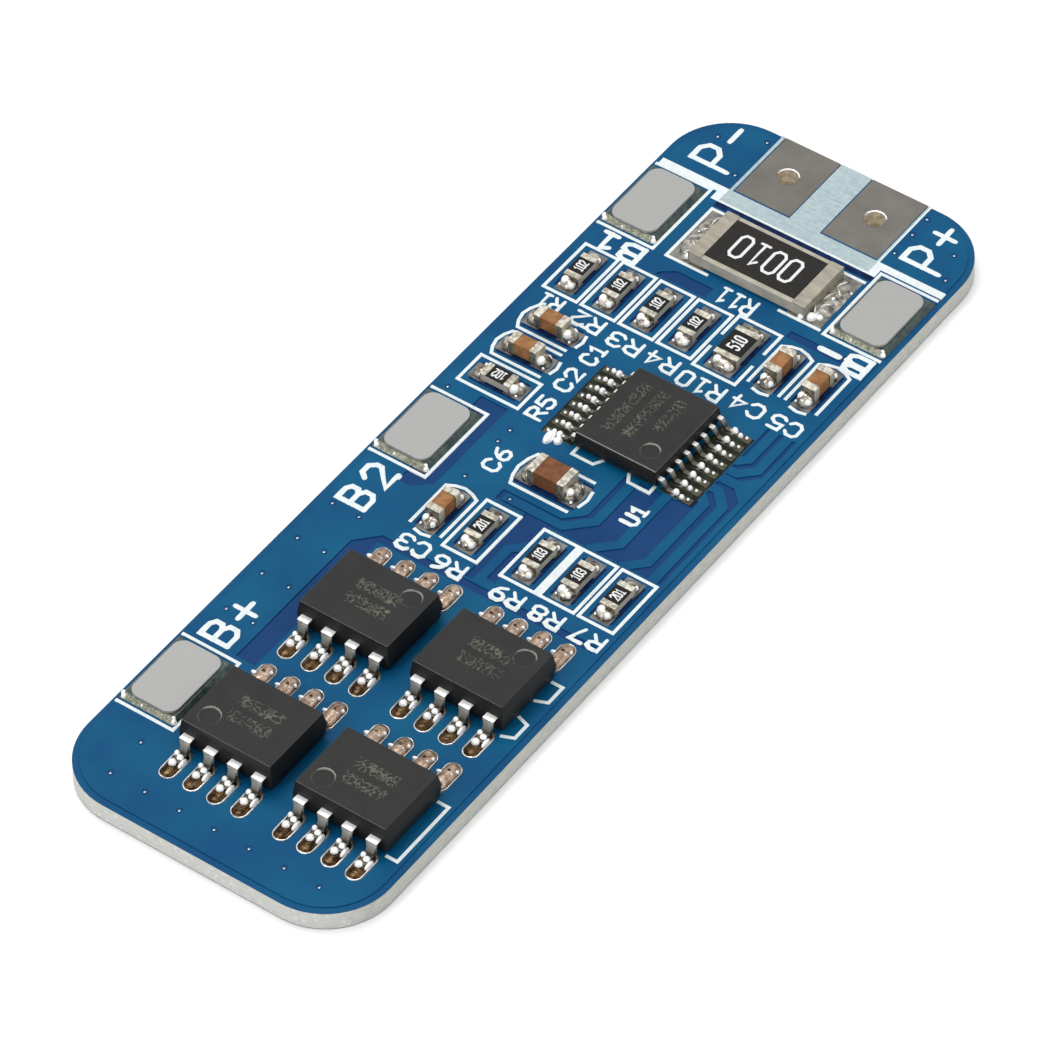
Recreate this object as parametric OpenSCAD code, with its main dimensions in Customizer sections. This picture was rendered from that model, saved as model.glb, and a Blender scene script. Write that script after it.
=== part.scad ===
// Battery management board for a three-cell pack: a small printed circuit board
// that carries four power transistors, a protection circuit, a current shunt,
// sixteen chip resistors and capacitors, and four welded battery tabs.
// Frame: underside at z = 0, board centre at the origin, long side along X with
// the output pads at +X, and the edge with three battery tabs at +Y.

/* [Board] */
// Length of the board
board_l = 50; // [45:0.5:60]
// Width of the board
board_w = 16; // [14.4:0.1:20]
// Thickness over both solder masks
board_t = 1; // [0.6:0.1:2]
// Corner radius of the board outline
corner_r = 3.3; // [1:0.1:3.6]

/* [Copper and mask] */
// Thickness of the copper foil
copper_t = 0.05; // [0.035:0.005:0.07]
// Thickness of each solder mask film
mask_t = 0.03; // [0.02:0.005:0.05]
// Side wall of mask on a copper edge
mask_wall = 0.03; // [0.02:0.005:0.05]
// Bare margin between the copper and the board edge
copper_edge = 0.35; // [0.2:0.05:0.5]
// Width of a signal track
track_w = 0.42; // [0.3:0.02:0.5]
// Height of a tinned land above the solder mask
land_proud = 0.01; // [0.005:0.005:0.03]
// Diameter of a tented via
via_d = 0.34; // [0.2:0.02:0.4]
// Depth of the dimple over a tented via
via_depth = 0.02; // [0.01:0.005:0.025]

/* [Output pads] */
// Reach of an output pad in from the board end
out_l = 4.2; // [3:0.1:4.3]
// Width of an output pad
out_w = 3; // [2.2:0.1:3.1]
// Distance between the middles of the two output pads
out_pitch = 4.78; // [4.5:0.02:5]
// Shift of the pair of output pads along Y
out_shift = -0.05; // [-0.1:0.05:0.1]
// Diameter of the wire hole in an output pad
wire_hole_d = 1; // [0.6:0.1:1.4]
// Width of the ring around the wire hole on the underside
ring_w = 0.5; // [0.2:0.05:0.7]

/* [Battery tabs] */
// Length of a tab
tab_l = 3.8; // [3:0.1:4.1]
// Width of a tab
tab_w = 2.45; // [2:0.05:2.7]
// Thickness of a tab
tab_t = 0.3; // [0.15:0.05:0.5]
// Corner radius of a tab
tab_r = 0.55; // [0.1:0.05:0.7]
// Solder rim at a tab's short ends
tab_rim = 0.23; // [0.1:0.01:0.3]
// Solder rim beside a tab's long sides
tab_side_rim = 0.28; // [0.1:0.01:0.3]
// Solder thickness under a tab
tab_bed = 0.04; // [0.02:0.01:0.1]
// Height of the solder skirt on a tab's side
tab_skirt = 0.16; // [0.05:0.01:0.2]

/* [Power transistors] */
// Body length along the rows of leads
fet_l = 4.9; // [4.8:0.05:5]
// Body width between the rows of leads
fet_w = 3.9; // [3.8:0.05:4]
// Body height
fet_h = 1.45; // [1.2:0.05:1.6]
// Pitch of the leads
fet_pitch = 1.27; // [1.2:0.01:1.3]
// Span over the lead tips
fet_span = 6; // [5.8:0.05:6.2]
// Width of a lead
fet_lead_w = 0.42; // [0.3:0.02:0.5]
// Thickness of a lead
fet_lead_t = 0.2; // [0.15:0.01:0.25]
// Length of a lead's foot
fet_foot = 0.6; // [0.4:0.05:0.8]
// Length of a land
fet_land_l = 1.9; // [1.6:0.05:2]
// Width of a land
fet_land_w = 0.86; // [0.7:0.02:0.95]
// Land beyond a lead tip
fet_toe = 0.9; // [0.7:0.05:1]
// Diameter of the pin-one dimple
fet_dimple_d = 1; // [0.6:0.1:1.2]

/* [Protection circuit] */
// Body length along the rows of leads
ic_l = 5; // [4.9:0.05:5.1]
// Body width between the rows of leads
ic_w = 4.4; // [4.3:0.05:4.5]
// Body height
ic_h = 0.9; // [0.8:0.05:1.1]
// Pitch of the leads
ic_pitch = 0.65; // [0.6:0.01:0.66]
// Span over the lead tips
ic_span = 6.4; // [6.2:0.05:6.5]
// Width of a lead
ic_lead_w = 0.24; // [0.18:0.01:0.28]
// Thickness of a lead
ic_lead_t = 0.13; // [0.1:0.01:0.18]
// Length of a lead's foot
ic_foot = 0.55; // [0.4:0.05:0.65]
// Length of a land
ic_land_l = 1.5; // [1.2:0.05:1.55]
// Width of a land
ic_land_w = 0.36; // [0.3:0.01:0.4]
// Land beyond a lead tip
ic_toe = 0.75; // [0.6:0.05:0.8]
// Diameter of the pin-one dimple
ic_dimple_d = 0.9; // [0.5:0.1:1.1]

/* [Packages] */
// Gap between a moulded body and the lands
standoff = 0.1; // [0.05:0.01:0.15]
// Slope of a moulded wall, in degrees from upright
draft = 8; // [4:1:10]
// Depth of a pin-one dimple
dimple_depth = 0.06; // [0.03:0.01:0.1]

/* [Shunt] */
// Length between the outer faces of the terminations
shunt_l = 6.35; // [6:0.05:6.6]
// Width
shunt_w = 3.2; // [3:0.05:3.4]
// Height
shunt_h = 0.65; // [0.5:0.05:0.9]
// Length of a termination
shunt_end = 0.7; // [0.4:0.05:0.9]
// Bare margin of ceramic at the side of the black overcoat
shunt_side = 0.25; // [0.1:0.05:0.4]
// Bare margin of ceramic between the overcoat and a termination
shunt_bare = 0.02; // [0.02:0.02:0.4]
// Length of a land
shunt_land_l = 1.85; // [1.5:0.05:1.9]
// Width of a land
shunt_land_w = 3.5; // [3.5:0.05:3.6]
// Land beyond a termination
shunt_toe = 0.95; // [0.8:0.05:1]

/* [Chip resistors] */
// Length of a small resistor
res_l = 1.6; // [1.5:0.05:1.7]
// Width of a small resistor
res_w = 0.8; // [0.75:0.05:0.85]
// Height of a resistor
res_h = 0.45; // [0.35:0.05:0.6]
// Length of the wider resistor
wide_res_l = 2; // [1.9:0.05:2.1]
// Width of the wider resistor
wide_res_w = 1.25; // [1.2:0.05:1.3]
// Length of an end cap
res_cap = 0.32; // [0.2:0.02:0.4]
// Thickness of the end-cap metal and of the overcoat
res_skin = 0.04; // [0.02:0.01:0.06]

/* [Chip capacitors] */
// Length of a small capacitor
cap_l = 1.6; // [1.5:0.05:1.7]
// Width of a small capacitor
cap_w = 0.8; // [0.75:0.05:0.85]
// Height of a small capacitor
cap_h = 0.8; // [0.6:0.05:0.9]
// Length of the larger capacitor
big_cap_l = 2; // [1.9:0.05:2.1]
// Width of the larger capacitor
big_cap_w = 1.25; // [1.2:0.05:1.3]
// Height of the larger capacitor
big_cap_h = 0.9; // [0.7:0.05:1.2]
// Length of an end cap
cap_end = 0.38; // [0.25:0.01:0.45]
// Thickness of the end-cap metal
cap_skin = 0.04; // [0.02:0.01:0.06]
// Radius of an end cap's edges
cap_r = 0.1; // [0.05:0.01:0.15]

/* [Chip lands and solder] */
// Land beyond the end of a chip
land_out = 0.65; // [0.5:0.05:0.7]
// Land under the end of a chip
land_in = 0.3; // [0.2:0.05:0.4]
// Land beyond each side of a chip
land_side = 0.08; // [0.05:0.01:0.1]
// Height of the solder against a chip, as a share of the chip
solder_rise = 0.8; // [0.5:0.05:0.95]
// Height of the solder on a power transistor's lead
fet_solder_h = 0.28; // [0.22:0.01:0.35]
// Height of the solder on a circuit's lead
ic_solder_h = 0.16; // [0.14:0.01:0.2]

/* [Printed legend] */
// Thickness of the white print
ink_t = 0.02; // [0.01:0.005:0.03]
// Width of a printed line
ink_w = 0.16; // [0.12:0.01:0.2]
// Gap between the end of a land and a printed line
ink_gap = 0.12; // [0.08:0.01:0.15]
// Gap between the side of a resistor's land and a printed line
res_ink_gap = 0.35; // [0.3:0.01:0.4]
// Gap between the side of a capacitor's land and a printed line
cap_ink_gap = 0.27; // [0.2:0.01:0.3]
// Width of the white field at the outputs
field_w = 0.94; // [0.7:0.02:1]

/* [Gaps along the board] */
// The free length of the board is shared out in the proportion of these gaps
// Gap between the input end and the first power transistor's lands
gap_input = 2.6; // [2:0.1:3]
// Gap between the two columns of power transistors
gap_transistors = 0.5; // [0.3:0.05:0.8]
// Gap between the power transistors and the left column of chips
gap_left_column = 1.45; // [1:0.05:2]
// Gap between the left column of chips and the larger capacitor
gap_capacitor = 1.25; // [0.8:0.05:1.6]
// Gap between the larger capacitor and the protection circuit
gap_circuit = 1.15; // [0.8:0.05:1.6]
// Gap between the protection circuit and the right column of chips
gap_right_column = 2.15; // [1.5:0.05:2.5]
// Gap between the right column of chips and the shunt
gap_shunt = 1.28; // [0.8:0.02:1.6]
// Gap between the shunt and the output pads
gap_output = 1.65; // [1.3:0.05:2]
// Shift of tab B+ from the first column of power transistors
tab_plus_shift = 0.8; // [0:0.1:1.2]
// Shift of tab B2 from the larger capacitor
tab_two_shift = -0.58; // [-1:0.02:0]
// Shift of tab B1 from the shunt
tab_one_shift = 0.5; // [0.2:0.05:0.6]
// Shift of tab B- from the shunt
tab_minus_shift = 0.4; // [0.2:0.05:0.6]
// Shift of the upright chips from the end of the protection circuit
upright_shift = 0.43; // [0.3:0.01:0.5]

/* [Gaps across the board] */
// The free width of the board is shared out in the proportion of each column's gaps
// Gap between the lower long edge and tab B-
gap_tab_minus = 0.28; // [0.2:0.02:0.4]
// Gap between tab B- and the shunt
gap_shunt_low = 0.39; // [0.3:0.01:0.6]
// Gap between the shunt and tab B1
gap_shunt_high = 0.91; // [0.7:0.01:1]
// Gap between the upper tabs and the upper long edge
gap_tab_edge = 0.15; // [0.1:0.01:0.2]
// Gap below the power transistors
gap_transistor_low = 1.13; // [1:0.01:1.3]
// Gap between the two rows of power transistors
gap_transistor_rows = 1.12; // [1:0.01:1.3]
// Gap between the power transistors and the tab above them
gap_transistor_tab = 0.79; // [0.6:0.01:1]
// Gap below the right column of chips
gap_right_low = 0.71; // [0.5:0.01:0.8]
// Gap above the right column of chips
gap_right_high = 0.49; // [0.3:0.01:0.6]
// Gap below the left column of chips
gap_left_low = 0.56; // [0.4:0.01:0.7]
// Gap for a track between the two halves of the left column
gap_left_middle = 1.12; // [0.9:0.01:1.2]
// Gap above the left column of chips
gap_left_high = 4.21; // [3.8:0.01:4.5]
// Gap between printed resistor frames in a column
gap_resistors = 0.1; // [0.05:0.01:0.15]
// Gap beside a printed capacitor frame
gap_capacitors = 0.18; // [0.12:0.01:0.3]
// Gap below the protection circuit's lands
gap_circuit_low = 2.25; // [2:0.05:2.5]
// Gap between the protection circuit's lands and the upright chips
gap_circuit_high = 1.6; // [1.4:0.05:1.8]
// Gap above the upright chips
gap_upright_high = 0.75; // [0.6:0.05:0.9]
// Gap below the larger capacitor
gap_big_low = 5.97; // [5.5:0.01:6.5]
// Gap between the larger capacitor and tab B2
gap_big_high = 2.96; // [2.5:0.01:3.2]

/* [Hidden] */

// Levels above the underside
core_top = board_t - mask_t;
copper_top = core_top + copper_t;
print_z = copper_top + mask_t;
seat_z = print_z + land_proud;
// A cut runs this far past the face that it opens
over = 0.1;

// ---- Outlines: points along a path, and polygons made from them ----
function unit(v) = v / norm(v);
function left_of(v) = [-v.y, v.x];
// The point on the bisector of two neighbouring edges, at distance d to their left
function mitre(before, at, after, d) =
    let (a = left_of(unit(at - before)), b = left_of(unit(after - at)))
    at + (a + b) * d / (1 + a * b);
function side_point(p, i, d) =
    let (last = len(p) - 1)
    i == 0 ? p[0] + d * left_of(unit(p[1] - p[0]))
    : i == last ? p[last] + d * left_of(unit(p[last] - p[last - 1]))
    : mitre(p[i - 1], p[i], p[i + 1], d);
// A strip of width w along an open path
function band(p, w) = concat(
    [for (i = [0 : len(p) - 1]) side_point(p, i, -w / 2)],
    [for (i = [len(p) - 1 : -1 : 0]) side_point(p, i, w / 2)]);
// A closed outline drawn anticlockwise, moved inwards by d
function inset(p, d) =
    let (n = len(p))
    [for (i = [0 : n - 1]) mitre(p[(i + n - 1) % n], p[i], p[(i + 1) % n], d)];
// Points on an arc about c
function arc(c, r, from, to, steps) =
    [for (i = [0 : steps]) let (a = from + (to - from) * i / steps) c + r * [cos(a), sin(a)]];
// An outline with two round ends, long along X
function oval(l, w) = concat(
    arc([(l - w) / 2, 0], w / 2, -90, 90, 4), arc([(w - l) / 2, 0], w / 2, 90, 270, 4));

module rounded(l, w, r) {
    square([l - 2 * r, w], center = true);
    square([l, w - 2 * r], center = true);
    for (x = [-1, 1], y = [-1, 1])
        translate([x * (l / 2 - r), y * (w / 2 - r)]) circle(r, $fn = 48);
}

module slab(z0, z1) {
    translate([0, 0, z0]) linear_extrude(z1 - z0) children();
}

module block(l, w, z0, z1) {
    translate([-l / 2, -w / 2, z0]) cube([l, w, z1 - z0]);
}

// A block whose four walls lean inwards from a strip at mid height
module moulded(l, w, h, strip_z, strip_t, lean) {
    intersection() {
        rotate([90, 0, 0]) translate([0, 0, -w]) linear_extrude(2 * w)
            polygon(moulded_profile(l / 2, h, strip_z, strip_t, lean));
        rotate([90, 0, 90]) translate([0, 0, -l]) linear_extrude(2 * l)
            polygon(moulded_profile(w / 2, h, strip_z, strip_t, lean));
    }
}

function moulded_profile(half, h, strip_z, strip_t, lean) =
    let (low = half - strip_z * tan(lean),
         high = half - (h - strip_z - strip_t) * tan(lean))
    [[-low, 0], [low, 0], [half, strip_z], [half, strip_z + strip_t], [high, h],
     [-high, h], [-half, strip_z + strip_t], [-half, strip_z]];

// A mound of solder on a land, oval in plan
module mound(l, w, h) {
    sides = 12;
    rings = 3;
    squareness = 0.7;
    ring = [for (i = [0 : sides - 1]) let (c = cos(360 * (i + 0.5) / sides), s = sin(360 * (i + 0.5) / sides))
        [sign(c) * pow(abs(c), squareness) * l / 2, sign(s) * pow(abs(s), squareness) * w / 2]];
    points = concat(
        [for (k = [0 : rings - 1]) let (a = 90 * k / rings)
            for (p = ring) [p.x * cos(a), p.y * cos(a), h * sin(a)]],
        [[0, 0, h]]);
    faces = concat(
        [[for (i = [0 : sides - 1]) i]],
        [for (k = [0 : rings - 2], i = [0 : sides - 1]) let (j = (i + 1) % sides)
            [k * sides + i, (k + 1) * sides + i, (k + 1) * sides + j, k * sides + j]],
        [for (i = [0 : sides - 1]) let (j = (i + 1) % sides)
            [(rings - 1) * sides + i, rings * sides, (rings - 1) * sides + j]]);
    polyhedron(points, faces);
}

// ---- Placement, worked out from the sizes above ----
end_x = board_l / 2;
edge_y = board_w / 2;

function sum(v, n) = n == 0 ? 0 : v[n - 1] + sum(v, n - 1);
// Middles of things of the given sizes, laid in a row between two ends. The gaps
// before, between and after them share the free length in their own proportion.
function laid_out(from, to, sizes, gaps) =
    let (free = to - from - sum(sizes, len(sizes)), unit_gap = free / sum(gaps, len(gaps)))
    [for (i = [0 : len(sizes) - 1]) from + sum(sizes, i) + sizes[i] / 2 + unit_gap * sum(gaps, i + 1)];

// Lands: distance of a land's middle from the middle of its package
fet_land_at = fet_span / 2 + fet_toe - fet_land_l / 2;
ic_land_at = ic_span / 2 + ic_toe - ic_land_l / 2;
shunt_land_at = shunt_l / 2 + shunt_toe - shunt_land_l / 2;
fet_rows = [for (i = [-1.5 : 1 : 1.5]) i * fet_pitch];
ic_rows = [for (i = [-3.5 : 1 : 3.5]) i * ic_pitch];
fet_reach = fet_span + 2 * fet_toe;
ic_reach = ic_span + 2 * ic_toe;
shunt_reach = shunt_l + 2 * shunt_toe;
tab_land_l = tab_l + 2 * tab_rim;
tab_land_w = tab_w + 2 * tab_side_rim;

// Printed frames around the chips, over the lines
function frame_across(w, gap) = w + 2 * (land_side + gap + ink_w);
function frame_along(l) = l + 2 * (land_out + ink_gap + ink_w);
res_frame = frame_across(res_w, res_ink_gap);
wide_res_frame = frame_across(wide_res_w, res_ink_gap);
cap_frame = frame_across(cap_w, cap_ink_gap);
big_cap_frame = frame_across(big_cap_w, cap_ink_gap);

// Columns along the board
columns_x = laid_out(-end_x, end_x - out_l,
    [fet_reach, fet_reach, frame_along(res_l), big_cap_frame, ic_l, frame_along(wide_res_l), shunt_land_w],
    [gap_input, gap_transistors, gap_left_column, gap_capacitor, gap_circuit, gap_right_column, gap_shunt,
     gap_output]);
left_col_x = columns_x[2];
big_cap_x = columns_x[3];
ic_x = columns_x[4];
right_col_x = columns_x[5];
shunt_x = columns_x[6];

// The column of tab B-, shunt and tab B1 sets the height of all upper tabs
shunt_col_y = laid_out(-edge_y, edge_y, [tab_land_w, shunt_reach, tab_land_w],
    [gap_tab_minus, gap_shunt_low, gap_shunt_high, gap_tab_edge]);
shunt_y = shunt_col_y[1];
tab_y = shunt_col_y[2];
tab_low = tab_y - tab_land_w / 2;
tab_plus_at = [columns_x[0] + tab_plus_shift, tab_y];
tab_two_at = [big_cap_x + tab_two_shift, tab_y];
tab_one_at = [shunt_x + tab_one_shift, tab_y];
tab_minus_at = [shunt_x + tab_minus_shift, shunt_col_y[0]];
tabs_at = [tab_plus_at, tab_two_at, tab_one_at, tab_minus_at];

// Power transistors: two columns of two; the second column is turned end for end
fet_col_y = laid_out(-edge_y, tab_low, [fet_l, fet_l],
    [gap_transistor_low, gap_transistor_rows, gap_transistor_tab]);
fet_at = [for (column = [0, 1], row = [1, 0]) [columns_x[column], fet_col_y[row], 180 * column]];

// Right column, from the bottom: two capacitors, the wider resistor, four resistors
right_col_y = laid_out(-edge_y, edge_y,
    [cap_frame, cap_frame, wide_res_frame, res_frame, res_frame, res_frame, res_frame],
    [gap_right_low, gap_capacitors, gap_capacitors, gap_resistors, gap_resistors, gap_resistors,
     gap_resistors, gap_right_high]);
// Left column, from the bottom: three resistors, a track, a resistor, a capacitor
left_col_y = laid_out(-edge_y, edge_y, [res_frame, res_frame, res_frame, res_frame, cap_frame],
    [gap_left_low, gap_resistors, gap_resistors, gap_left_middle, gap_capacitors, gap_left_high]);
// Protection circuit with a row of upright chips above it
ic_col_y = laid_out(-edge_y, edge_y, [ic_reach, frame_along(res_l)],
    [gap_circuit_low, gap_circuit_high, gap_upright_high]);
ic_y = ic_col_y[0];
upright_y = ic_col_y[1];
upright_x = ic_x - ic_l / 2 + upright_shift + res_frame / 2;
cap_2_x = upright_x + res_frame / 2 + gap_capacitors + cap_frame / 2;
big_cap_y = laid_out(-edge_y, tab_low, [frame_along(big_cap_l)], [gap_big_low, gap_big_high])[0];

// Each chip: middle x, middle y, turn
res_at = concat(
    [for (i = [6 : -1 : 3]) [right_col_x, right_col_y[i], 0]],
    [[upright_x, upright_y, 90], [left_col_x, left_col_y[3], 0]],
    [for (i = [0 : 2]) [left_col_x, left_col_y[i], 0]],
    [[right_col_x, right_col_y[2], 0]]);
cap_at = [
    [cap_2_x + cap_frame + gap_capacitors, upright_y, 90],
    [cap_2_x, upright_y, 90],
    [left_col_x, left_col_y[4], 0],
    [right_col_x, right_col_y[1], 0],
    [right_col_x, right_col_y[0], 0],
    [big_cap_x, big_cap_y, 90]
];
// Length, width and height of each chip
function res_size(i) = i == 9 ? [wide_res_l, wide_res_w, res_h] : [res_l, res_w, res_h];
function cap_size(i) = i == 5 ? [big_cap_l, big_cap_w, big_cap_h] : [cap_l, cap_w, cap_h];
chip_at = concat(res_at, cap_at);
chip_size = concat([for (i = [0 : 9]) res_size(i)], [for (i = [0 : 5]) cap_size(i)]);

// Output pads
out_x = end_x - out_l / 2;
out_minus_y = out_shift + out_pitch / 2;
out_plus_y = out_shift - out_pitch / 2;
ring_d = wire_hole_d + 2 * ring_w;

module place(at) {
    translate([at.x, at.y, 0]) rotate(at[2]) children();
}

module at_both_ends() {
    for (turn = [0, 180]) rotate(turn) children();
}

// ---- The board ----
module board_plan() {
    rounded(board_l, board_w, corner_r);
}

module wire_holes(d) {
    for (y = [out_minus_y, out_plus_y]) translate([out_x, y]) circle(d / 2, $fn = 48);
}

module fibreglass_core() {
    color("#c9cfc4") difference() {
        slab(mask_t, core_top) board_plan();
        slab(mask_t - over, core_top + over) wire_holes(wire_hole_d);
    }
}

// Lines that the bare fields and tracks keep to
left_x = left_col_x - frame_along(res_l) / 2;
bundle_x = left_col_x + frame_along(res_l) / 2 + 0.1;
below_ic_y = ic_y - ic_reach / 2;
loop_x = big_cap_x - big_cap_frame / 2 - 0.7;
loop_y = big_cap_y - frame_along(big_cap_l) / 2 - 0.95;
ic_left_x = ic_x - ic_l / 2;
label_x = right_col_x - frame_along(wide_res_l) / 2 - 1.27;
lowest_y = -edge_y + 0.55;
// Bare fields between the copper areas, anticlockwise
bare_fields = [
    // Beside and above the power transistors
    [[fet_at[0].x + 3.4, tab_low - 0.74], [left_x - 1.4, tab_low - 0.74], [left_x - 1.4, lowest_y + 0.15],
     [left_x - 0.9, lowest_y + 0.15], [left_x - 0.9, tab_low - 0.64], [left_x - 1.95, tab_low + 0.36],
     [fet_at[0].x + 3.4, tab_low + 0.36]],
    // Around tab B2
    [for (p = [[-2.45, -2.2], [3.15, -2.2], [3.15, -0.65], [-3.15, -0.65], [-3.15, -1.35]]) tab_two_at + p],
    // Under the tracks between the left column, the larger capacitor and the circuit
    [[bundle_x, lowest_y], [ic_left_x + 1.38, lowest_y], [ic_left_x + 2.03, lowest_y + 0.65],
     [ic_left_x + 2.03, below_ic_y - 0.15], [ic_left_x + 0.58, below_ic_y - 0.15],
     [ic_left_x + 0.58, below_ic_y + 0.65], [ic_left_x, below_ic_y + 0.65], [ic_left_x, loop_y + 0.55],
     [big_cap_x - 0.68, loop_y + 0.55], [loop_x + 0.36, loop_y + 1.35], [loop_x + 0.36, big_cap_y + 1.6],
     [loop_x - 0.34, big_cap_y + 1.6], [loop_x - 0.34, left_col_y[3] - 0.92],
     [left_x - 0.85, left_col_y[3] - 0.92], [left_x - 0.85, left_col_y[2] + 0.8],
     [bundle_x, left_col_y[2] + 0.8]],
    // Under the tracks from the circuit to the right column
    [[ic_x + 0.7, lowest_y], [label_x, lowest_y], [label_x, below_ic_y - 0.15], [ic_x, below_ic_y - 0.15],
     [ic_x, lowest_y + 0.7]],
    // Beside the shunt
    [for (p = [[-3.1, 1.2], [-2.35, 1.2], [-2.35, 3.2], [-2.8, 3.85], [-3.1, 4]]) [shunt_x, shunt_y] + p],
    [for (p = [[-3.05, -1.3], [-2.55, -1.3], [-2.55, 2.9], [-3.05, 2.9]]) [shunt_x, tab_minus_at.y] + p]
];
// Tracks that cross the bare fields
ic_lead_y = ic_y - ic_land_at;
tracks = [
    [[loop_x, big_cap_y + 1.3], [loop_x, loop_y + 1.05], [loop_x + 1.05, loop_y], [ic_left_x + 0.1, loop_y]],
    [[bundle_x - 0.05, loop_y - 0.6], [bundle_x + 1, loop_y - 1.65], [ic_left_x + 0.1, loop_y - 1.65]],
    [[bundle_x - 0.05, lowest_y + 2.1], [bundle_x + 0.8, lowest_y + 1.25], [ic_left_x + 0.5, lowest_y + 1.25],
     [ic_x + ic_rows[1], below_ic_y - 0.05], [ic_x + ic_rows[1], ic_lead_y]],
    [[bundle_x - 0.05, lowest_y + 0.47], [ic_left_x + 0.78, lowest_y + 0.47],
     [ic_x + ic_rows[2], lowest_y + 1.2], [ic_x + ic_rows[2], ic_lead_y]],
    [[left_x - 0.65, left_col_y[2] + 0.75], [left_x - 0.65, left_col_y[3] - 1.56],
     [left_x + 1.55, left_col_y[3] - 1.56], [left_x + 2.35, left_col_y[2] + 0.75]],
    [[ic_x + ic_rows[4], ic_lead_y], [ic_x + ic_rows[4], lowest_y + 1.1],
     [ic_x + ic_rows[5], lowest_y + 0.45], [label_x + 0.05, lowest_y + 0.45]],
    [[ic_x + ic_rows[5], ic_lead_y], [ic_x + ic_rows[5], below_ic_y - 0.2],
     [ic_x + ic_rows[6] - 0.3, lowest_y + 1.15], [label_x + 0.05, lowest_y + 1.15]]
];

// The copper in plan, grown by the mask's side wall where a wall is given
module copper_plan(wall = 0) {
    difference() {
        rounded(board_l - 2 * (copper_edge - wall), board_w - 2 * (copper_edge - wall),
            corner_r - copper_edge + wall);
        for (field = bare_fields) polygon(inset(field, wall));
    }
    for (track = tracks) polygon(band(track, track_w + 2 * wall));
}

module component_land_plan() {
    for (at = fet_at) place(at) at_both_ends() for (y = fet_rows)
        translate([fet_land_at, y]) polygon(oval(fet_land_l, fet_land_w));
    translate([ic_x, ic_y]) at_both_ends() for (x = ic_rows)
        translate([x, ic_land_at]) square([ic_land_w, ic_land_l], center = true);
    translate([shunt_x, shunt_y]) at_both_ends() translate([0, shunt_land_at])
        square([shunt_land_w, shunt_land_l], center = true);
    for (i = [0 : len(chip_at) - 1]) place(chip_at[i]) at_both_ends()
        translate([chip_size[i].x / 2 - land_in, -chip_size[i].y / 2 - land_side])
            square([land_in + land_out, chip_size[i].y + 2 * land_side]);
}

module tab_land_plan() {
    for (at = tabs_at) translate(at) square([tab_land_l, tab_land_w], center = true);
}

module output_land_plan() {
    for (y = [out_minus_y, out_plus_y]) translate([out_x, y]) square([out_l, out_w], center = true);
}

module all_land_plans() {
    component_land_plan();
    tab_land_plan();
    output_land_plan();
}

module copper_layer(top, spare) {
    difference() {
        slab(core_top - spare, top) copper_plan();
        slab(core_top - spare - over, top + over) all_land_plans();
    }
}

module top_copper() {
    color("#b87333") copper_layer(copper_top, 0);
}

// Places of the tented vias
via_at = concat(
    // A row down the input end
    [for (i = [0 : 6]) [1.6 - end_x, edge_y - 2.55 - i * (board_w - 4.96) / 6]],
    [[3.7 - end_x, edge_y - 2.55]],
    // Two rows along the upper edge
    [for (i = [0 : 3], y = [2.3, 0.85]) [fet_at[2].x - 2.9 + 2.55 * i, edge_y - y]],
    // Around the larger capacitor
    [for (p = [[-1.83, 3.43], [0.72, 3.48], [1.57, 3.43], [-1.83, 0.98], [2.17, 7.28]])
        [big_cap_x, big_cap_y] + p],
    [[left_x + 0.8, left_col_y[3] - 1.4]],
    // Around the output pads
    [for (p = [[1.7, 6.5], [3.35, 4.4], [0.75, 4.4], [0.75, -4.4], [1.95, -4.4], [3.4, -4.4],
               [2, -6.7], [3.55, -7.25]]) [end_x - p.x, p.y]]);

module top_solder_mask() {
    color("#1c3fae") difference() {
        union() {
            slab(core_top, board_t) board_plan();
            slab(core_top, print_z) copper_plan(mask_wall);
        }
        copper_layer(copper_top, over);
        slab(core_top - over, print_z + over) all_land_plans();
        for (at = via_at) translate([at.x, at.y, print_z - via_depth])
            cylinder(d = via_d, h = via_depth + over, $fn = 8);
    }
}

module bottom_solder_mask() {
    color("#1c3fae") difference() {
        slab(0, mask_t) board_plan();
        slab(-over, mask_t + over) wire_holes(ring_d);
    }
}

module component_lands() {
    color("#c8c4ba") slab(core_top, seat_z) component_land_plan();
}

// An output pad: the land on top and a ring underneath, round the same plated hole
module output_pad(y) {
    color("#b9b2a6") translate([out_x, y, 0]) difference() {
        union() {
            block(out_l, out_w, core_top, seat_z);
            cylinder(d = ring_d, h = mask_t, $fn = 48);
        }
        translate([0, 0, -over]) cylinder(d = wire_hole_d, h = seat_z + 2 * over, $fn = 48);
    }
}

module output_pad_minus() {
    output_pad(out_minus_y);
}

module output_pad_plus() {
    output_pad(out_plus_y);
}

// ---- Printed legend ----
module ink_line(points) {
    polygon(band(points, ink_w));
}

module ink_frame(l, w) {
    difference() {
        square([l, w], center = true);
        square([l - 2 * ink_w, w - 2 * ink_w], center = true);
    }
}

// Half the length of a chip's printed frame, to the middle of its end line
function frame_end(size) = frame_along(size.x) / 2 - ink_w / 2;

module resistor_frame(size) {
    ink_frame(2 * frame_end(size) + ink_w, frame_across(size.y, res_ink_gap));
}

// The wider resistor's frame is open at the middle of its long sides
module wide_resistor_frame(size) {
    gap = 0.85;
    difference() {
        resistor_frame(size);
        square([gap, 2 * wide_res_frame], center = true);
    }
}

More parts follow.
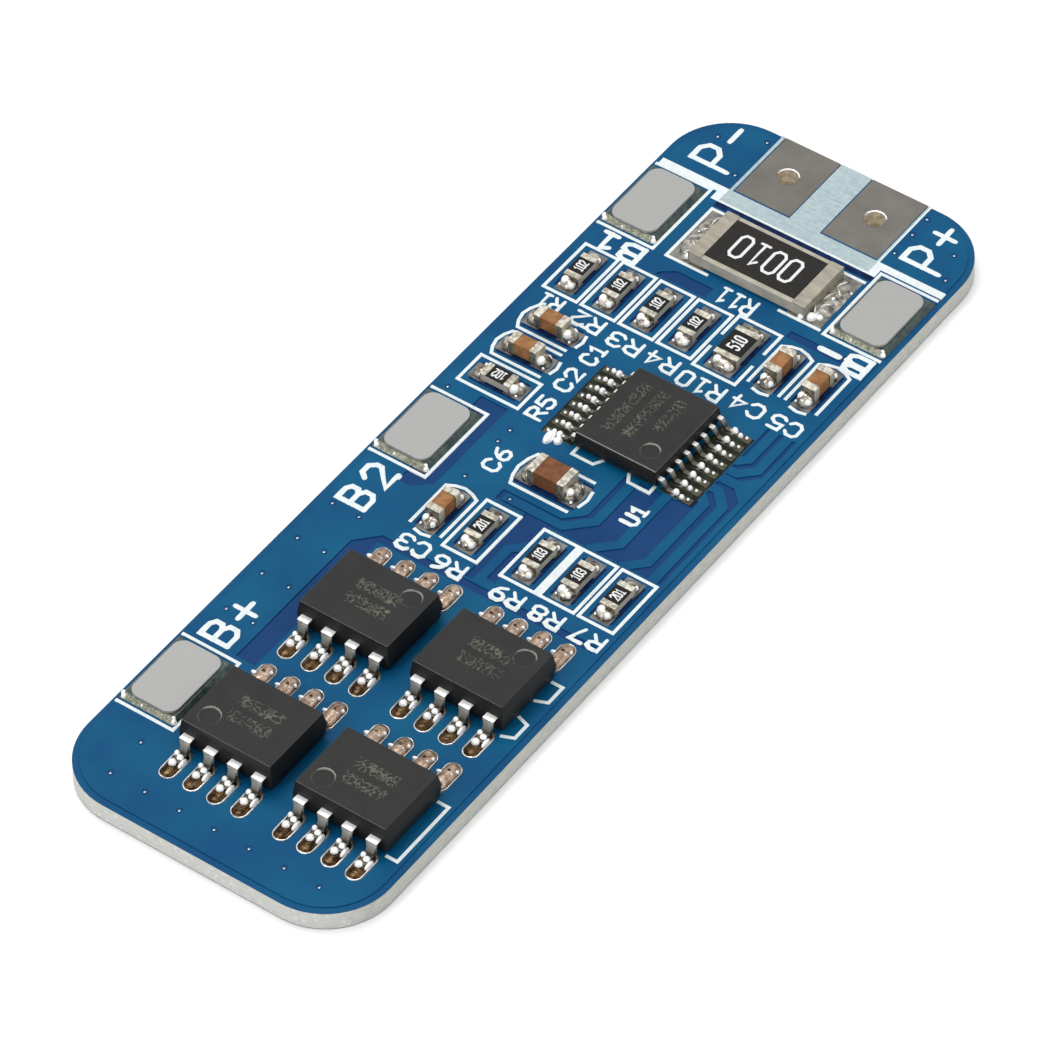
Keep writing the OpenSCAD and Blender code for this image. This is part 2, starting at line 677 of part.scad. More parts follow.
// Capacitors have straight sides; one end bows in to them and the other stands apart
module capacitor_frame(size) {
    side_y = frame_across(size.y, cap_ink_gap) / 2 - ink_w / 2;
    bow = 0.1;
    end_x = frame_end(size);
    low_x = 3 * bow - end_x;
    ink_line([[low_x, -side_y], [-low_x, -side_y], [end_x - bow, -0.55 * side_y], [end_x, 0],
        [end_x - bow, 0.55 * side_y], [-low_x, side_y], [low_x, side_y]]);
    ink_line([[bow - end_x, -0.55 * side_y], [-end_x, 0], [bow - end_x, 0.55 * side_y]]);
}

// Two of the left column's frames share a solid band
module frame_band() {
    upper = res_at[8];
    lower = res_at[7];
    width = upper.y - lower.y - res_frame + 2 * ink_w;
    translate([left_col_x, (upper.y + lower.y) / 2]) square([frame_along(res_l), width], center = true);
}

// A tab's frame, open at the board edge
module tab_frame(at, reach) {
    side_x = tab_land_l / 2 + ink_gap + ink_w / 2;
    low_y = -tab_land_w / 2 - ink_w / 2;
    translate(at) ink_line([[-side_x, reach], [-side_x, low_y], [side_x, low_y], [side_x, reach]]);
}

module shunt_frame() {
    side_x = shunt_land_w / 2 + ink_w / 2;
    end_y = shunt_l / 2 + shunt_toe + ink_w / 2;
    arm = 2.3;
    translate([shunt_x, shunt_y]) {
        ink_line([[-side_x, end_y - arm], [-side_x, end_y], [side_x, end_y], [side_x, end_y - arm]]);
        for (x = [-side_x, side_x]) ink_line([[x, arm - end_y], [x, -end_y]]);
    }
}

// The white field beside the output pads, with a bar between them
module output_field() {
    inner = end_x - out_l - 0.1;
    narrow = 0.4;
    wide_y = (out_pitch + out_w) / 2 + 0.6;
    end_gap = 0.25;
    bar_gap = 0.06;
    translate([inner - field_w, -wide_y]) square([field_w, 2 * wide_y]);
    translate([inner - narrow, end_gap - edge_y]) square([narrow, board_w - 2 * end_gap]);
    bar_low = out_plus_y + out_w / 2 + bar_gap;
    bar_high = out_minus_y - out_w / 2 - bar_gap;
    translate([inner - field_w, bar_low]) square([end_x - inner + field_w, bar_high - bar_low]);
    for (y = [out_minus_y + out_w / 2 + bar_gap, out_plus_y - out_w / 2 - bar_gap - ink_w])
        translate([inner - field_w, y]) square([end_x - inner + field_w, ink_w]);
}

// Corner marks around the power transistors
module transistor_marks() {
    low = fet_at[1].y - fet_rows[3] - fet_land_w / 2 - 0.06;
    drop = 0.6;
    x1 = fet_at[0].x;
    x2 = fet_at[2].x;
    ink_line([[x1 - 1.95, low], [x1 - 1.95, low - drop], [x1 + 1.7, low - drop], [x1 + 1.7, low]]);
    ink_line([[x2 - 2.1, low], [x2 - 1.85, low - drop], [x2 - 0.95, low - drop], [x2 - 0.75, low]]);
    ink_line([[x2 + 0.35, low], [x2 + 0.6, low - drop], [x2 + 1.65, low - drop], [x2 + 1.65, low]]);
}

// Two square brackets at the pin-one end of the protection circuit
module circuit_marks() {
    x = ic_x - ic_l / 2 - 0.35;
    for (turn = [0, 1]) translate([x, ic_y + 1.4]) mirror([0, turn]) translate([0, turn * 2.8 + 0.67])
        ink_line([[0.48, 0], [0, 0], [0, -1.12], [0.48, -1.4]]);
}

module legend_plan() {
    for (i = [0 : 8]) place(res_at[i]) resistor_frame(res_size(i));
    place(res_at[9]) wide_resistor_frame(res_size(9));
    frame_band();
    for (i = [0 : 5]) place(cap_at[i]) capacitor_frame(cap_size(i));
    for (i = [0 : 2]) tab_frame(tabs_at[i], tab_land_w / 2);
    rotate(180) tab_frame(-tab_minus_at, tab_land_w / 2);
    shunt_frame();
    output_field();
    transistor_marks();
    circuit_marks();
}

// The print stops at the lands, and fills the bare fields that it crosses
module top_legend() {
    color("#eef1f2") {
        slab(print_z, print_z + ink_t) difference() {
            legend_plan();
            all_land_plans();
        }
        slab(board_t, print_z) difference() {
            legend_plan();
            copper_plan(mask_wall);
            all_land_plans();
        }
    }
}

// ---- Battery tabs ----
module tab(at) {
    color("#cfcfca") translate([at.x, at.y, seat_z + tab_bed])
        linear_extrude(tab_t) rounded(tab_l, tab_w, tab_r);
}

// Solder under a tab, with a sloping skirt around its sides
module tab_solder(at) {
    height = tab_bed + tab_skirt;
    lean = atan((tab_rim - 0.05) / height);
    color("#b5b2aa") translate([at.x, at.y, seat_z]) difference() {
        moulded(tab_land_l, tab_land_w, height, 0, 0.001, lean);
        translate([0, 0, tab_bed]) linear_extrude(tab_t) rounded(tab_l, tab_w, tab_r);
    }
}

module tab_b_plus() { tab(tab_plus_at); }
module tab_b_two() { tab(tab_two_at); }
module tab_b_one() { tab(tab_one_at); }
module tab_b_minus() { tab(tab_minus_at); }
module tab_solder_b_plus() { tab_solder(tab_plus_at); }
module tab_solder_b_two() { tab_solder(tab_two_at); }
module tab_solder_b_one() { tab_solder(tab_one_at); }
module tab_solder_b_minus() { tab_solder(tab_minus_at); }

// ---- Leaded packages ----
// Height of the lead's underside where it leaves the body, above the body's base
function lead_exit(h, t) = 0.45 * (h - t);

// Side view of a gull-wing lead: middle line from the body out to the tip
function lead_path(half, h, t, span, foot) =
    let (exit_z = standoff + lead_exit(h, t) + t / 2,
         heel_x = span / 2 - foot,
         knee_x = half + (heel_x - half) * 0.45)
    [[half, exit_z], [knee_x, exit_z], [heel_x, t / 2], [span / 2, t / 2]];

// One gull-wing lead that leaves a body towards +X
module lead(half, h, t, span, foot, w) {
    rotate([90, 0, 0]) translate([0, 0, -w / 2]) linear_extrude(w)
        polygon(band(lead_path(half, h, t, span, foot), t));
}

module transistor_lead() {
    lead(fet_w / 2, fet_h, fet_lead_t, fet_span, fet_foot, fet_lead_w);
}

module circuit_lead() {
    lead(ic_w / 2, ic_h, ic_lead_t, ic_span, ic_foot, ic_lead_w);
}

module transistor_body(i) {
    exit_z = lead_exit(fet_h, fet_lead_t);
    dimple = [-1, 1.5];
    color("#26282b") translate([0, 0, seat_z + standoff]) place(fet_at[i]) difference() {
        moulded(fet_w, fet_l, fet_h, exit_z, fet_lead_t, draft);
        translate([dimple.x, dimple.y, fet_h - dimple_depth])
            cylinder(d = fet_dimple_d, h = dimple_depth + over, $fn = 36);
    }
}

module transistor_leads(i) {
    color("#c9c8c2") translate([0, 0, seat_z]) place(fet_at[i]) at_both_ends()
        for (y = fet_rows) translate([0, y, 0]) transistor_lead();
}

module transistor_1_body() { transistor_body(0); }
module transistor_2_body() { transistor_body(1); }
module transistor_3_body() { transistor_body(2); }
module transistor_4_body() { transistor_body(3); }
module transistor_1_leads() { transistor_leads(0); }
module transistor_2_leads() { transistor_leads(1); }
module transistor_3_leads() { transistor_leads(2); }
module transistor_4_leads() { transistor_leads(3); }

module protection_circuit_body() {
    exit_z = lead_exit(ic_h, ic_lead_t);
    dimple = [-1.5, -1.2];
    color("#2a2c30") translate([ic_x, ic_y, seat_z + standoff]) difference() {
        moulded(ic_l, ic_w, ic_h, exit_z, ic_lead_t, draft);
        translate([dimple.x, dimple.y, ic_h - dimple_depth])
            cylinder(d = ic_dimple_d, h = dimple_depth + over, $fn = 36);
    }
}

module protection_circuit_leads() {
    color("#c9c8c2") translate([ic_x, ic_y, seat_z]) at_both_ends()
        for (x = ic_rows) translate([x, 0, 0]) rotate(90) circuit_lead();
}

module transistor_solder() {
    color("#d2d2ce") for (at = fet_at) place(at) at_both_ends() for (y = fet_rows)
        translate([0, y, seat_z]) difference() {
            translate([fet_land_at, 0, 0]) mound(fet_land_l, fet_land_w, fet_solder_h);
            transistor_lead();
        }
}

module circuit_solder() {
    color("#d2d2ce") translate([ic_x, ic_y, seat_z]) at_both_ends() for (x = ic_rows)
        translate([x, 0, 0]) rotate(90) difference() {
            translate([ic_land_at, 0, 0]) mound(ic_land_l, ic_land_w, ic_solder_h);
            circuit_lead();
        }
}

// ---- Shunt ----
module shunt_ceramic() {
    color("#ddd6c4") translate([shunt_x, shunt_y, seat_z])
        block(shunt_w, shunt_l - 2 * res_skin, res_skin, shunt_h - res_skin);
}

module shunt_overcoat() {
    color("#1d1f20") translate([shunt_x, shunt_y, seat_z])
        block(shunt_w - 2 * shunt_side, shunt_l - 2 * (shunt_end + shunt_bare), shunt_h - res_skin, shunt_h);
}

module shunt_terminations() {
    color("#bdbab2") translate([shunt_x, shunt_y, seat_z]) difference() {
        at_both_ends() translate([0, (shunt_l - shunt_end) / 2, 0]) block(shunt_w, shunt_end, 0, shunt_h);
        block(shunt_w + over, shunt_l - 2 * res_skin, res_skin, shunt_h - res_skin);
    }
}

module shunt_solder() {
    color("#cfcdc6") translate([shunt_x, shunt_y, seat_z]) difference() {
        at_both_ends() translate([0, shunt_land_at, 0])
            mound(shunt_land_w, shunt_land_l, solder_rise * shunt_h);
        block(shunt_w, shunt_l, -over, shunt_h + over);
    }
}

// ---- Chip resistors ----
module resistor(i) {
    size = res_size(i);
    color("#e4e0d4") translate([0, 0, seat_z]) place(res_at[i])
        block(size.x - 2 * res_skin, size.y, res_skin, size.z - res_skin);
}

module resistor_1() { resistor(0); }
module resistor_2() { resistor(1); }
module resistor_3() { resistor(2); }
module resistor_4() { resistor(3); }
module resistor_5() { resistor(4); }
module resistor_6() { resistor(5); }
module resistor_7() { resistor(6); }
module resistor_8() { resistor(7); }
module resistor_9() { resistor(8); }
module resistor_10() { resistor(9); }

module resistor_overcoats() {
    color("#1a1c1e") for (i = [0 : 9]) translate([0, 0, seat_z]) place(res_at[i])
        block(res_size(i).x - 2 * res_cap, res_size(i).y, res_h - res_skin, res_h);
}

module resistor_end_caps() {
    color("#c6c6c0") for (i = [0 : 9]) translate([0, 0, seat_z]) place(res_at[i]) {
        size = res_size(i);
        difference() {
            at_both_ends() translate([(size.x - res_cap) / 2, 0, 0]) block(res_cap, size.y, 0, size.z);
            block(size.x - 2 * res_skin, size.y + over, res_skin, size.z - res_skin);
        }
    }
}

// ---- Chip capacitors ----
module capacitor(i) {
    size = cap_size(i);
    color("#a98a63") translate([0, 0, seat_z]) place(cap_at[i])
        block(size.x - 2 * cap_skin, size.y - 2 * cap_skin, cap_skin, size.z - cap_skin);
}

// Both metal ends of one capacitor, with their edges rounded
module capacitor_end_caps(i) {
    size = cap_size(i);
    color("#c8c7c2") translate([0, 0, seat_z]) place(cap_at[i]) difference() {
        intersection() {
            linear_extrude(size.z) rounded(size.x, size.y, cap_r);
            translate([0, 0, size.z / 2]) rotate([90, 0, 90]) translate([0, 0, -size.x])
                linear_extrude(2 * size.x) rounded(size.y, size.z, cap_r);
        }
        block(size.x - 2 * cap_end, size.y + over, -over, size.z + over);
        block(size.x - 2 * cap_skin, size.y - 2 * cap_skin, cap_skin, size.z - cap_skin);
    }
}

module capacitor_1() { capacitor(0); }
module capacitor_2() { capacitor(1); }
module capacitor_3() { capacitor(2); }
module capacitor_4() { capacitor(3); }
module capacitor_5() { capacitor(4); }
module capacitor_6() { capacitor(5); }
module capacitor_1_end_caps() { capacitor_end_caps(0); }
module capacitor_2_end_caps() { capacitor_end_caps(1); }
module capacitor_3_end_caps() { capacitor_end_caps(2); }
module capacitor_4_end_caps() { capacitor_end_caps(3); }
module capacitor_5_end_caps() { capacitor_end_caps(4); }
module capacitor_6_end_caps() { capacitor_end_caps(5); }

module chip_solder() {
    color("#d0d0cb") for (i = [0 : len(chip_at) - 1]) translate([0, 0, seat_z]) place(chip_at[i]) {
        size = chip_size[i];
        difference() {
            at_both_ends() translate([size.x / 2 + (land_out - land_in) / 2, 0, 0])
                mound(land_in + land_out, size.y + 2 * land_side, solder_rise * min(size.z, res_h));
            block(size.x, size.y, -over, size.z + over);
        }
    }
}

fibreglass_core();
top_copper();
top_solder_mask();
bottom_solder_mask();
top_legend();
component_lands();
output_pad_minus();
output_pad_plus();
tab_b_plus();
tab_b_two();
tab_b_one();
tab_b_minus();
tab_solder_b_plus();
tab_solder_b_two();
tab_solder_b_one();
tab_solder_b_minus();
transistor_1_body();
transistor_2_body();
transistor_3_body();
transistor_4_body();
transistor_1_leads();
transistor_2_leads();
transistor_3_leads();
transistor_4_leads();
protection_circuit_body();
protection_circuit_leads();
shunt_ceramic();
shunt_overcoat();
shunt_terminations();
resistor_1();
resistor_2();
resistor_3();
resistor_4();
resistor_5();
resistor_6();
resistor_7();
resistor_8();
resistor_9();
resistor_10();
resistor_overcoats();
resistor_end_caps();
capacitor_1();
capacitor_2();
capacitor_3();
capacitor_4();
capacitor_5();
capacitor_6();
capacitor_1_end_caps();
capacitor_2_end_caps();
capacitor_3_end_caps();
capacitor_4_end_caps();
capacitor_5_end_caps();
capacitor_6_end_caps();
transistor_solder();
circuit_solder();
chip_solder();
shunt_solder();
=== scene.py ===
"""A battery management board dressed for the studio: finishes, solder, lettering, camera and light."""
import math

import bpy
from mathutils import Matrix, Vector


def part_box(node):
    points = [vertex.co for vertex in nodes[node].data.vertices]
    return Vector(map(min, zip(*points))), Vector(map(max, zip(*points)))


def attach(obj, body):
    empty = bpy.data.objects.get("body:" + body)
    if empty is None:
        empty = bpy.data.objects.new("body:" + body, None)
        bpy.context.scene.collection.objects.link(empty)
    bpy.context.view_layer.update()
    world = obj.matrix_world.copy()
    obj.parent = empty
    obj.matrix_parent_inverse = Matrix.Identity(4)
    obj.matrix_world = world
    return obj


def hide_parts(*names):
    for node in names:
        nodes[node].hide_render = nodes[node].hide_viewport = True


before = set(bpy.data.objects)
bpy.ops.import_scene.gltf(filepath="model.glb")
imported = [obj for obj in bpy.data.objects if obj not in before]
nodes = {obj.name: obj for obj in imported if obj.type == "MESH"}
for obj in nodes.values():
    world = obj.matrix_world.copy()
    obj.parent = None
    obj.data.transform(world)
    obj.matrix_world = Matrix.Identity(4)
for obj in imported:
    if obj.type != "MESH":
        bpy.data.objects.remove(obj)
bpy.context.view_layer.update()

MM = 0.001

# Heights on the board, in millimetres
MASK_Z = 1.05
LAND_Z = 1.06
INK_Z = 1.07

# The board, its corners and the bare border inside its edge, in millimetres
BOARD = (50, 16)
CORNER = 3.3
BORDER = 0.45
# The white field round the output pads: middle x, middle y, half length, half width
OUTPUT_FIELD = (22.5, 0, 2.62, 4.08)
# From the middle of a tab to the solder at its ends
TAB_END = 2.01


def middle(node, turn=0):
    """A CAD piece's place on the board: middle x and y in millimetres, and its turn in degrees."""
    low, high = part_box(node)
    return (low.x + high.x) / 2 / MM, (low.y + high.y) / 2 / MM, turn


TRANSISTORS = [middle(f"transistor_{i}_body") for i in range(1, 5)]
CIRCUIT = middle("protection_circuit_body")
SHUNT = middle("shunt_ceramic")
TABS = [middle(f"tab_b_{name}") for name in ("plus", "two", "one", "minus")]
OUTPUT_PADS = [middle("output_pad_minus"), middle("output_pad_plus")]
# The chips beside the protection circuit stand across the board
RESISTORS = [middle(f"resistor_{i}", 90 if i == 5 else 0) for i in range(1, 10)]
WIDE_RESISTOR = middle("resistor_10")
CAPACITORS = [middle(f"capacitor_{i}", 90 if i < 3 else 0) for i in range(1, 6)]
LARGE_CAPACITOR = middle("capacitor_6", 90)
CHIP = (1.6, 0.8)
WIDE_CHIP = (2.0, 1.25)


def top_of(node):
    """The height of a CAD piece's top, in millimetres."""
    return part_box(node)[1].z / MM


# ---- Colours and shader maths ----

def paint(red, green, blue):
    """A colour written as it looks, 0 to 255, turned to scene-linear."""
    def linear(level):
        level /= 255
        return level / 12.92 if level <= 0.04045 else ((level + 0.055) / 1.055) ** 2.4
    return (linear(red), linear(green), linear(blue), 1.0)


class Value:
    """A number or colour on its way through a graph; the operators add Math nodes."""

    def __init__(self, graph, socket):
        self.graph = graph
        self.socket = socket

    def math(self, operation, *others):
        return self.graph.node("ShaderNodeMath", {"operation": operation}, [self, *others])

    def __add__(self, other):
        return self.math("ADD", other)

    def __radd__(self, other):
        return self.math("ADD", other)

    def __mul__(self, other):
        return self.math("MULTIPLY", other)

    def __rmul__(self, other):
        return self.math("MULTIPLY", other)

    def __sub__(self, other):
        return self.math("SUBTRACT", other)

    def __rsub__(self, other):
        return self.graph.node("ShaderNodeMath", {"operation": "SUBTRACT"}, [other, self])

    def __truediv__(self, other):
        return self.math("DIVIDE", other)

    def __rtruediv__(self, other):
        return self.graph.node("ShaderNodeMath", {"operation": "DIVIDE"}, [other, self])

    def __gt__(self, other):
        return self.math("GREATER_THAN", other)

    def __lt__(self, other):
        return self.math("LESS_THAN", other)

    def __abs__(self):
        return self.math("ABSOLUTE")

    def most(self, other):
        return self.math("MAXIMUM", other)

    def between(self, low, high):
        """0 below low, 1 above high, straight in between."""
        return self.graph.node("ShaderNodeMapRange", {"clamp": True},
                               {"Value": self, "From Min": low, "From Max": high})


SOCKET = {"specular_ior_level": "Specular IOR Level"}


class Graph:
    """A node tree that is built up from values."""

    def __init__(self, tree):
        self.tree = tree

    def node(self, kind, settings, values, output=0):
        """Adds a node; values are for its sockets in order, or by name. output None gives the node."""
        made = self.tree.nodes.new(kind)
        for setting, choice in settings.items():
            setattr(made, setting, choice)
        named = values.items() if isinstance(values, dict) else enumerate(values)
        for socket, value in named:
            self.put(value, made.inputs[socket])
        return made if output is None else Value(self, made.outputs[output])

    def put(self, value, socket):
        """Links a value to a socket, or writes a constant there."""
        if isinstance(value, Value):
            self.tree.links.new(value.socket, socket)
        else:
            socket.default_value = value

    def ray(self, kind):
        """1 for rays of a kind, such as Is Camera Ray."""
        return self.node("ShaderNodeLightPath", {}, {}, kind)


class Finish(Graph):
    """A material, with the piece's own coordinates at hand."""

    def __init__(self, name, **constants):
        self.material = bpy.data.materials.new(name)
        self.material.use_nodes = True
        super().__init__(self.material.node_tree)
        self.shader = self.tree.nodes["Principled BSDF"]
        self.place = self.node("ShaderNodeTexCoord", {}, {}, "Object")
        parts = self.node("ShaderNodeSeparateXYZ", {}, [self.place], None)
        self.x, self.y, self.z = (Value(self, s) / MM for s in parts.outputs)
        for socket, constant in constants.items():
            self.set(SOCKET.get(socket, socket.capitalize()), constant)

    def blend(self, amount, first, second):
        """A colour between two."""
        return self.node("ShaderNodeMix", {"data_type": "RGBA"}, {0: amount, 6: first, 7: second}, 2)

    def noise(self, size, detail=2.0, roughness=0.5, stretch=None):
        """Cloudy noise, 0 to 1, with lumps of that size in millimetres."""
        where = self.place
        if stretch:
            where = self.node("ShaderNodeMapping", {}, {"Vector": where, "Scale": stretch})
        return self.node("ShaderNodeTexNoise", {},
                         {"Vector": where, "Scale": 1 / (size * MM), "Detail": detail,
                          "Roughness": roughness})

    def specks(self, size):
        """Distance to the nearest of scattered points, for grains of that size in millimetres."""
        return self.node("ShaderNodeTexVoronoi", {},
                         {"Vector": self.place, "Scale": 1 / (size * MM)}, "Distance")

    def facing(self, axis):
        """How far the surface faces along X, Y or Z (0, 1 or 2), from -1 to 1."""
        normal = self.node("ShaderNodeNewGeometry", {}, {}, "True Normal")
        return self.node("ShaderNodeSeparateXYZ", {}, [normal], axis)

    def set(self, socket, value):
        self.put(value, self.shader.inputs[socket])

    def colour(self, value):
        self.set("Base Color", value)

    def roughness(self, value):
        self.set("Roughness", value)

    def bump(self, height, depth, strength=1.0):
        """Raises the surface by height times depth, in millimetres."""
        self.set("Normal", self.node("ShaderNodeBump", {}, {"Height": height, "Distance": depth * MM,
                                                            "Strength": strength}))


def within(finish, x, y, half_x, half_y):
    """1 inside an upright box, 0 outside it, in millimetres."""
    return (abs(finish.x - x) < half_x) * (abs(finish.y - y) < half_y)


def make_fibreglass():
    f = Finish("fibreglass", roughness=0.75)
    streaks = f.noise(0.5, 3, 0.6, stretch=(1, 1, 5))
    flakes = f.specks(0.35).between(0.3, 0.1)
    # The sawn short end is rougher than the milled sides, and paler, partly of itself and partly as
    # painted light from -X
    sawn = f.x.between(-23, -24)
    body = f.blend(streaks.between(0.35, 0.7), paint(188, 189, 182), paint(214, 216, 209))
    body = f.blend(sawn * 0.2, body, paint(250, 250, 248))
    f.colour(f.blend(flakes * sawn * 0.8, body, paint(246, 246, 243)))
    f.bump(streaks + flakes * sawn, 0.03, 0.7)
    return f.material


def make_copper():
    f = Finish("copper", metallic=1.0, roughness=0.4)
    f.colour(f.blend(f.noise(0.8), paint(150, 92, 58), paint(184, 120, 80)))
    return f.material


def make_solder_mask():
    f = Finish("solder_mask", specular_ior_level=0.12)
    cloud = f.noise(3.0, 2)
    over_copper = f.blend(cloud.between(0.3, 0.7), paint(0, 76, 122), paint(4, 91, 131))
    over_laminate = f.blend(cloud.between(0.3, 0.7), paint(10, 58, 111), paint(18, 66, 118))
    raised = f.z.between(1.005, 1.03)
    # The bare border beside the sawn edge is hardly darker than the copper's
    far_x = (abs(f.x) - (BOARD[0] / 2 - CORNER)).most(0)
    far_y = (abs(f.y) - (BOARD[1] / 2 - CORNER)).most(0)
    border = (far_x * far_x + far_y * far_y).math("SQRT") > CORNER - BORDER
    raised = raised.most(border * 0.8)
    f.colour(f.blend(raised, over_laminate, over_copper))
    f.roughness(f.noise(0.2).between(0, 1) * 0.1 + 0.4)
    f.bump(f.noise(0.25), 0.004, 0.5)
    return f.material


def make_white_ink():
    f = Finish("white_ink", roughness=0.6)
    scratch = f.noise(0.12, 2, 0.6, stretch=(1, 0.12, 1)).between(0.52, 0.7)
    grain = f.noise(0.2, 3)
    # The broad field round the output pads lets a little blue through
    broad = within(f, *OUTPUT_FIELD)
    thin = f.blend(grain.between(0.3, 0.6), paint(222, 236, 238), paint(243, 248, 248))
    field = f.blend(grain.between(0.35, 0.65), paint(168, 189, 193), paint(187, 203, 206))
    field = f.blend(scratch * 0.7, field, paint(150, 174, 180))
    f.colour(f.blend(broad, thin, field))
    f.bump(grain, 0.006, 0.5)
    return f.material


def make_tinned_land():
    f = Finish("tinned_land", metallic=0.75)
    stain = f.noise(0.5, 3)
    shade = f.blend(stain.between(0.35, 0.65), paint(90, 89, 86), paint(136, 135, 130))
    # The narrow lands of the protection circuit are darker
    narrow = within(f, CIRCUIT[0], CIRCUIT[1], 2.6, 4.2)
    f.colour(f.blend(narrow * 0.8, shade, paint(74, 74, 58)))
    f.roughness(f.noise(0.25).between(0.3, 0.7) * 0.2 + 0.38)
    f.bump(f.noise(0.3), 0.012, 0.6)
    return f.material


def make_output_land():
    f = Finish("output_land", metallic=0.35, roughness=0.55)
    smear = f.noise(1.6, 3, 0.6)
    grain = f.noise(0.08, 2)
    f.colour(f.blend((smear * 0.7 + grain * 0.3).between(0.35, 0.65), paint(104, 100, 94),
                     paint(120, 117, 111)))
    f.bump(grain, 0.004, 0.5)
    return f.material


def make_nickel():
    f = Finish("nickel_tab", metallic=0.3, roughness=0.5)
    brushed = f.noise(0.1, 2, 0.5, stretch=(0.15, 1, 1))
    f.colour(f.blend(brushed.between(0.3, 0.7), paint(164, 164, 162), paint(168, 168, 166)))
    f.bump(brushed, 0.002, 0.4)
    return f.material


def make_solder(name, dark, light, roughness, lumps=0.02, metallic=1.0, glow=0):
    """Solder between two colours, with lumps of that height in millimetres."""
    f = Finish(name, metallic=metallic)
    f.set("Emission Strength", glow)
    f.colour(f.blend(f.noise(0.3, 3).between(0.35, 0.65), dark, light))
    f.roughness(f.noise(0.15).between(0.3, 0.7) * 0.12 + roughness)
    f.bump(f.noise(0.22, 2), lumps, 0.8)
    return f.material


def make_flux_and_shade_rim():
    f = Finish("flux_stained_shaded_solder", metallic=0.5)
    stain = f.noise(0.35, 3)
    grain = f.specks(0.12).between(0.15, 0.5)
    # Pale olive at the ends that face -X; beside the other walls it is painted dark teal as shade
    pale = 0
    for x, y, _ in TABS:
        pale = within(f, x - TAB_END, y, 0.16, 1.4).most(pale)
    shade = f.blend(stain.between(0.35, 0.65), paint(96, 100, 86), paint(140, 140, 122))
    shade = f.blend(grain, paint(168, 168, 150), shade)
    dark = f.blend(stain.between(0.35, 0.65), paint(42, 62, 66), paint(78, 90, 84))
    f.colour(f.blend(pale, dark, shade))
    f.roughness(0.4)
    f.bump(f.noise(0.14, 2), 0.03, 0.8)
    return f.material


def make_moulding():
    f = Finish("moulded_epoxy", specular_ior_level=0.25)
    grain = f.noise(0.09, 2, 0.7)
    cloud = f.noise(1.2, 2)
    shade = f.blend((grain * 0.6 + cloud * 0.4).between(0.35, 0.65), paint(28, 29, 28),
                    paint(41, 42, 40))
    up = f.facing(2)
    # Painted shade: the walls are darker than the top
    shade = f.blend(up.between(0.5, 0.2) * 0.5, shade, paint(14, 14, 15))
    # The rim of the top is painted light as a highlight, most of all towards -X
    rim = up.between(0.2, 0.35) * up.between(0.99, 0.96)
    rim = rim * (f.facing(0).between(-0.1, -0.3) * 0.75 + 0.2)
    shade = f.blend(rim, shade, paint(150, 150, 144))
    # Worn, unreadable rows where a maker would mark the tops
    rows = [(x + dx, y - 0.15, 0.36, 1.15) for x, y, _ in TRANSISTORS for dx in (-0.42, 0.48)]
    rows += [(CIRCUIT[0] + dx, CIRCUIT[1] + dy, half, 0.32)
             for dx, dy, half in [(0.1, 1.2, 1.7), (0.2, 0.25, 1.6), (0.7, -0.7, 1.1)]]
    worn = 0
    for x, y, half_x, half_y in rows:
        inside = (half_x - abs(f.x - x)).between(0, 0.1) * (half_y - abs(f.y - y)).between(0, 0.1)
        worn = inside.most(worn)
    strokes = abs(f.noise(0.26, 1, 0.4) - 0.5).between(0.06, 0.025)
    f.colour(f.blend(strokes * worn * cloud.between(0.1, 0.7) * 0.8, shade, paint(120, 118, 104)))
    f.roughness(grain.between(0.2, 0.8) * 0.12 + 0.5)
    f.bump(grain, 0.01, 0.5)
    return f.material


def make_tinned_lead():
    f = Finish("tinned_lead", metallic=0.35)
    # Painted light: faces that look up, above the feet, take the bright colour
    bright = f.blend(f.noise(0.2, 2).between(0.35, 0.65), paint(222, 220, 212), paint(250, 249, 245))
    # Painted shade: the upright parts darken towards the board
    upright = f.blend(f.z.between(1.3, 1.8), paint(58, 54, 46), paint(186, 182, 172))
    # The level feet are darker and take no painted highlight
    level = f.blend(f.z.between(1.35, 1.5), paint(92, 88, 74), bright)
    f.colour(f.blend(f.facing(2).between(0.5, 0.8), upright, level))
    f.roughness(f.noise(0.15).between(0.3, 0.7) * 0.1 + 0.26)
    f.bump(f.noise(0.12), 0.006, 0.5)
    return f.material


def make_alumina():
    f = Finish("alumina", roughness=0.6)
    f.colour(f.blend(f.noise(0.6, 3).between(0.35, 0.65), paint(172, 166, 152), paint(190, 184, 170)))
    f.bump(f.noise(0.1), 0.01, 0.5)
    return f.material


def make_overcoat():
    f = Finish("black_overcoat", roughness=0.55, specular_ior_level=0.2)
    shade = f.blend(f.noise(0.15, 3, 0.7).between(0.3, 0.7), paint(24, 22, 20), paint(38, 35, 32))
    # The small resistors' coats are blacker than the shunt's
    small = f.x.between(SHUNT[0] - 2, SHUNT[0] - 2.5)
    f.colour(f.blend(small * 0.8, shade, paint(8, 8, 7)))
    f.bump(f.noise(0.08), 0.006, 0.5)
    return f.material


def make_end_cap():
    f = Finish("end_cap_metal", metallic=0.45)
    stain = f.noise(0.2, 3).between(0.35, 0.65)
    # Painted light and shade: the tops are light, the ends and sides darker
    top = f.blend(stain, paint(150, 144, 128), paint(226, 221, 208))
    ends = f.blend(stain, paint(84, 80, 66), paint(148, 143, 126))
    shade = f.blend(f.facing(2).between(0.4, 0.8), ends, top)
    # Painted light: the sides towards -Y are pale
    f.colour(f.blend(f.facing(1).between(-0.5, -0.8), shade, paint(196, 190, 166)))
    f.roughness(f.noise(0.15).between(0.3, 0.7) * 0.15 + 0.3)
    f.bump(f.noise(0.15), 0.02, 0.7)
    return f.material


